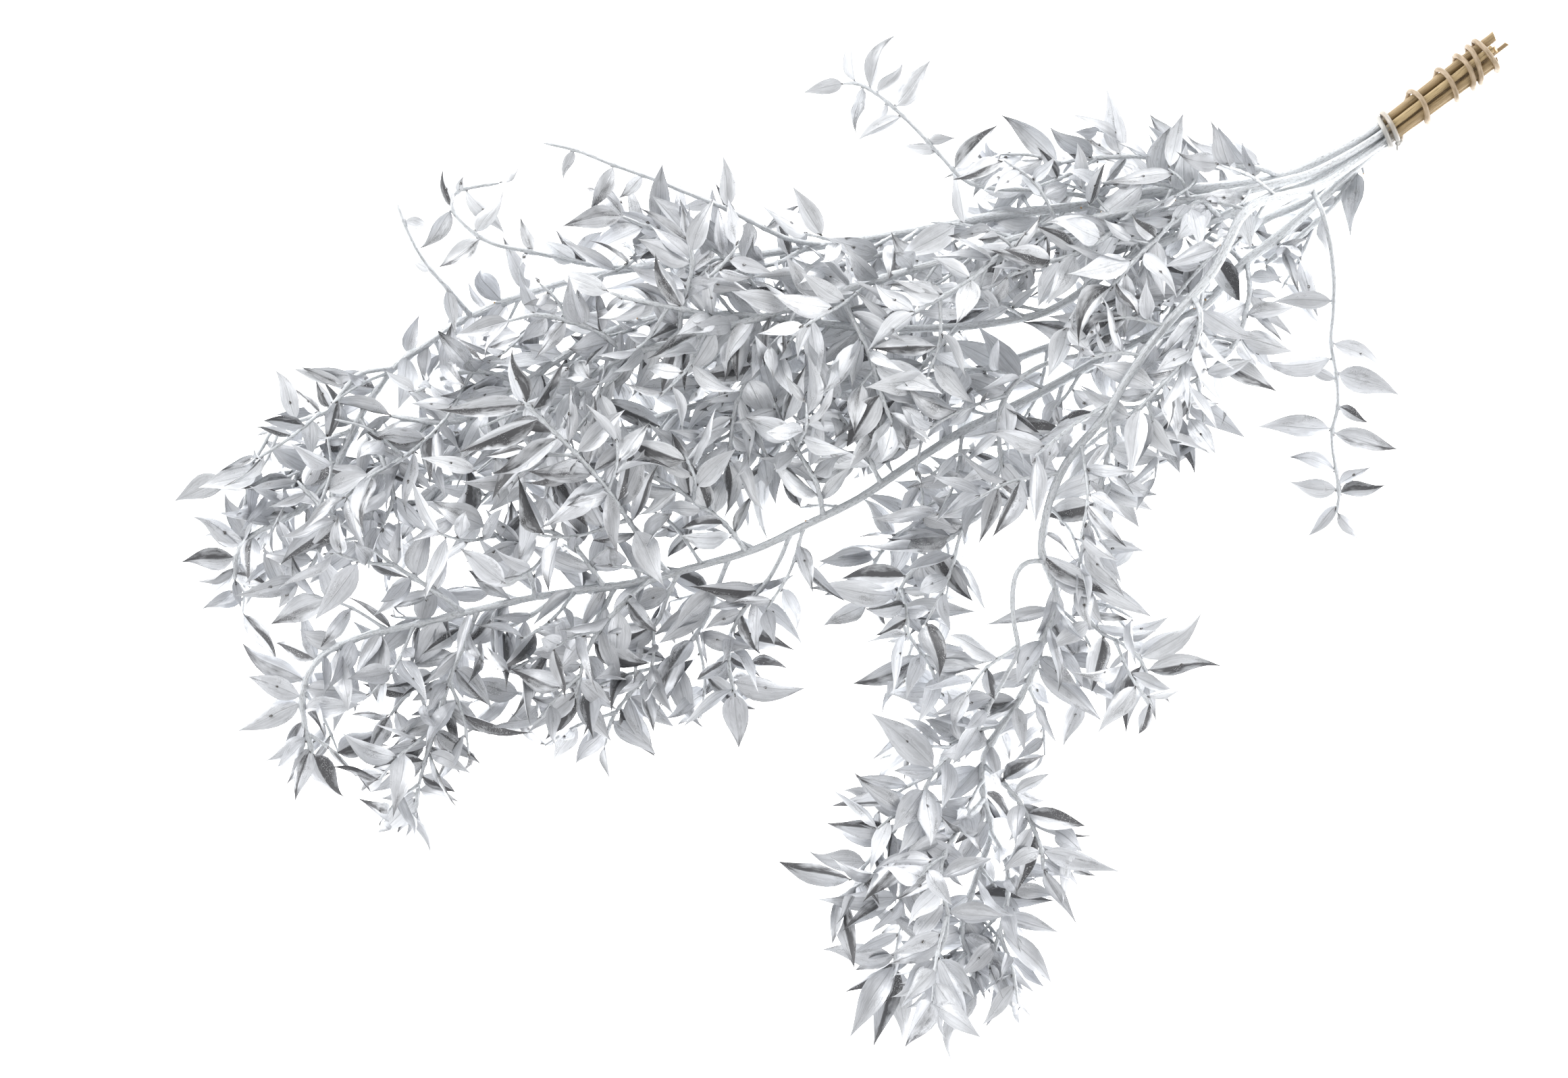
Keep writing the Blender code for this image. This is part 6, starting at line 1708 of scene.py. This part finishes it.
def add_rubber(skin, path, radius, past):
    """A round-ended rubber strand along a path. Its pattern is (across, over, along) in mm."""
    radii = np.full((len(path), BAND_SIDES), radius)
    radii[:2] *= np.array(BAND_END_SHRINK)[:, None]
    radii[-2:] *= np.array(BAND_END_SHRINK[::-1])[:, None]
    along = lengths(path)
    wear = np.stack([np.tile(past[:, None], BAND_SIDES), radii, radii], axis=-1)
    first, last = [(1 + BAND_END_POINT) * path[k] - BAND_END_POINT * path[n] for k, n in ((0, 1), (-1, -2))]
    skin.add(radii.shape, with_poles(first, tube_rings(path, radii), last),
             with_poles((0, 0, 0), round_pattern(radii, along), (0, 0, along[-1])),
             with_poles((past[0], 0, 0), wear, (past[-1], 0, 0)), 0)


# %% Wind the band and tie it
laps = np.arange(BAND_LAPS[0], BAND_LAPS[-1] + 1e-6, BAND_STEP_DEG / 360)
band_skin = Skin()
add_rubber(band_skin, band_place(laps)[0], BAND_THICKNESS, np.interp(laps, BAND_LAPS, BAND_PLACES))
knot_place, knot_out = [row[0] for row in band_place(np.array([KNOT_LAP]))]
knot_ahead = unit(np.cross(knot_out, (0, 0, 1.0)))
knot_over = np.cross(knot_out, knot_ahead)
t = np.linspace(KNOT_START, 2 * math.pi, KNOT_POINTS)
knot_path = knot_place + knot_out * KNOT_RISE + KNOT_SIZE * (
    np.outer(np.sin(t) + 2 * np.sin(2 * t), knot_ahead) + np.outer(np.cos(t) - 2 * np.cos(2 * t), knot_over)
    - np.outer(np.sin(3 * t), knot_out))
add_rubber(band_skin, knot_path, KNOT_THICKNESS, np.zeros(len(t)))
tail = np.linspace(0, 1, TAIL_POINTS)[:, None]
tail_path = knot_path[0] + TAIL_LENGTH * (tail * knot_out * TAIL_BEND[0] + tail * knot_ahead * TAIL_BEND[1]
                                          + tail**2 * knot_over * TAIL_BEND[2])
add_rubber(band_skin, tail_path, TAIL_THINNER * KNOT_THICKNESS, np.zeros(TAIL_POINTS))
band = band_skin.mesh_object("elastic_band_skin", [rubber])
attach(band, "root")
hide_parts("elastic_band")
print(band.name, len(band_skin.faces), "faces")

# %% [markdown]
# ## Floor, light and camera
#
# The photograph is a cut-out on pure white with hardly any shadow. A floor that gives a little light of its
# own keeps the gaps between the blades white. Metal only looks like metal when it has something darker to
# mirror, so the sky is white at the sides, more so at the upper left, and dims over a wide patch overhead:
# blades that lie flat turn grey, and tilted ones stay bright. The camera looks straight down from far away,
# which hardly converges.

# %% Floor
FLOOR_SIZE = 14.0
FLOOR_GLOW = 2.4
floor_mesh = bpy.data.meshes.new("white_floor")
reach = FLOOR_SIZE / 2
floor_mesh.from_pydata([(-reach, -reach, 0), (reach, -reach, 0), (reach, reach, 0), (-reach, reach, 0)], [],
                       [(0, 1, 2, 3)])
floor = in_scene("white_floor", floor_mesh)
floor_material, floor_tree = new_material("white_card")
fill(floor_tree, floor_tree.nodes["Principled BSDF"],
     {"Base Color": colour("F4F4F4"), "Roughness": 0.9, "Specular IOR Level": 0.0,
      "Emission Color": colour("FFFFFF"), "Emission Strength": FLOOR_GLOW})
floor_mesh.materials.append(floor_material)

# %% Sky and lamps
SKY_SIDE = 1.27
SKY_TOP = 0.42
SKY_TOP_Z = (0.78, 0.98)
SKY_LEAN = (-0.2, 0.2, 0.0)
world = bpy.data.worlds.new("white_tent")
bpy.context.scene.world = world
world.use_nodes = True
sky = world.node_tree
direction = add(sky, "TexCoord", output="Generated")
strength = add(sky, "MapRange", {0: add(sky, "SeparateXYZ", {0: direction}, output=2), 1: SKY_TOP_Z[0],
                                 2: SKY_TOP_Z[1], 3: SKY_SIDE, 4: SKY_TOP}, **EASED)
lean = add(sky, "VectorMath", {0: direction, 1: SKY_LEAN}, output="Value", operation="DOT_PRODUCT")
leaning = add(sky, "Math", {0: strength, 1: lean, 2: strength}, operation="MULTIPLY_ADD")
fill(sky, sky.nodes["Background"], {"Strength": leaning, "Color": (1.0, 1.0, 1.0, 1.0)})


def soft_lamp(name, place, size, watts):
    """A square area lamp that faces the middle of the bunch and isn't seen by the camera."""
    lamp = bpy.data.lights.new(name, "AREA")
    lamp.size = size
    lamp.energy = watts
    lit = in_scene(name, lamp)
    lit.location = place
    lit.rotation_euler = (-Vector(place)).to_track_quat("-Z", "Y").to_euler()
    lit.visible_camera = False


soft_lamp("upper_left_softbox", (-1.6, 1.5, 1.3), 1.2, 22)
soft_lamp("right_softbox", (1.9, -0.3, 1.1), 1.0, 10)

# %% Camera
PHOTO_SIZE_PX = (2322, 1596)
MM_PER_PX = 0.35
PHOTO_ORIGIN_PX = (1250, 815)
MEAN_HEIGHT = 60.0
CAMERA_DISTANCE = 4.0
camera_data = bpy.data.cameras.new("camera")
camera = in_scene("camera", camera_data)
bpy.context.scene.camera = camera
camera.location = ((PHOTO_SIZE_PX[0] / 2 - PHOTO_ORIGIN_PX[0]) * MM_PER_PX * MM,
                   (PHOTO_ORIGIN_PX[1] - PHOTO_SIZE_PX[1] / 2) * MM_PER_PX * MM,
                   CAMERA_DISTANCE + MEAN_HEIGHT * MM)
camera_data.sensor_width = 36.0
camera_data.lens = camera_data.sensor_width * CAMERA_DISTANCE / (PHOTO_SIZE_PX[0] * MM_PER_PX * MM)
camera_data.clip_end = 50.0
bpy.context.scene.view_settings.view_transform = "Standard"
print("Lens in mm:", round(camera_data.lens, 1))
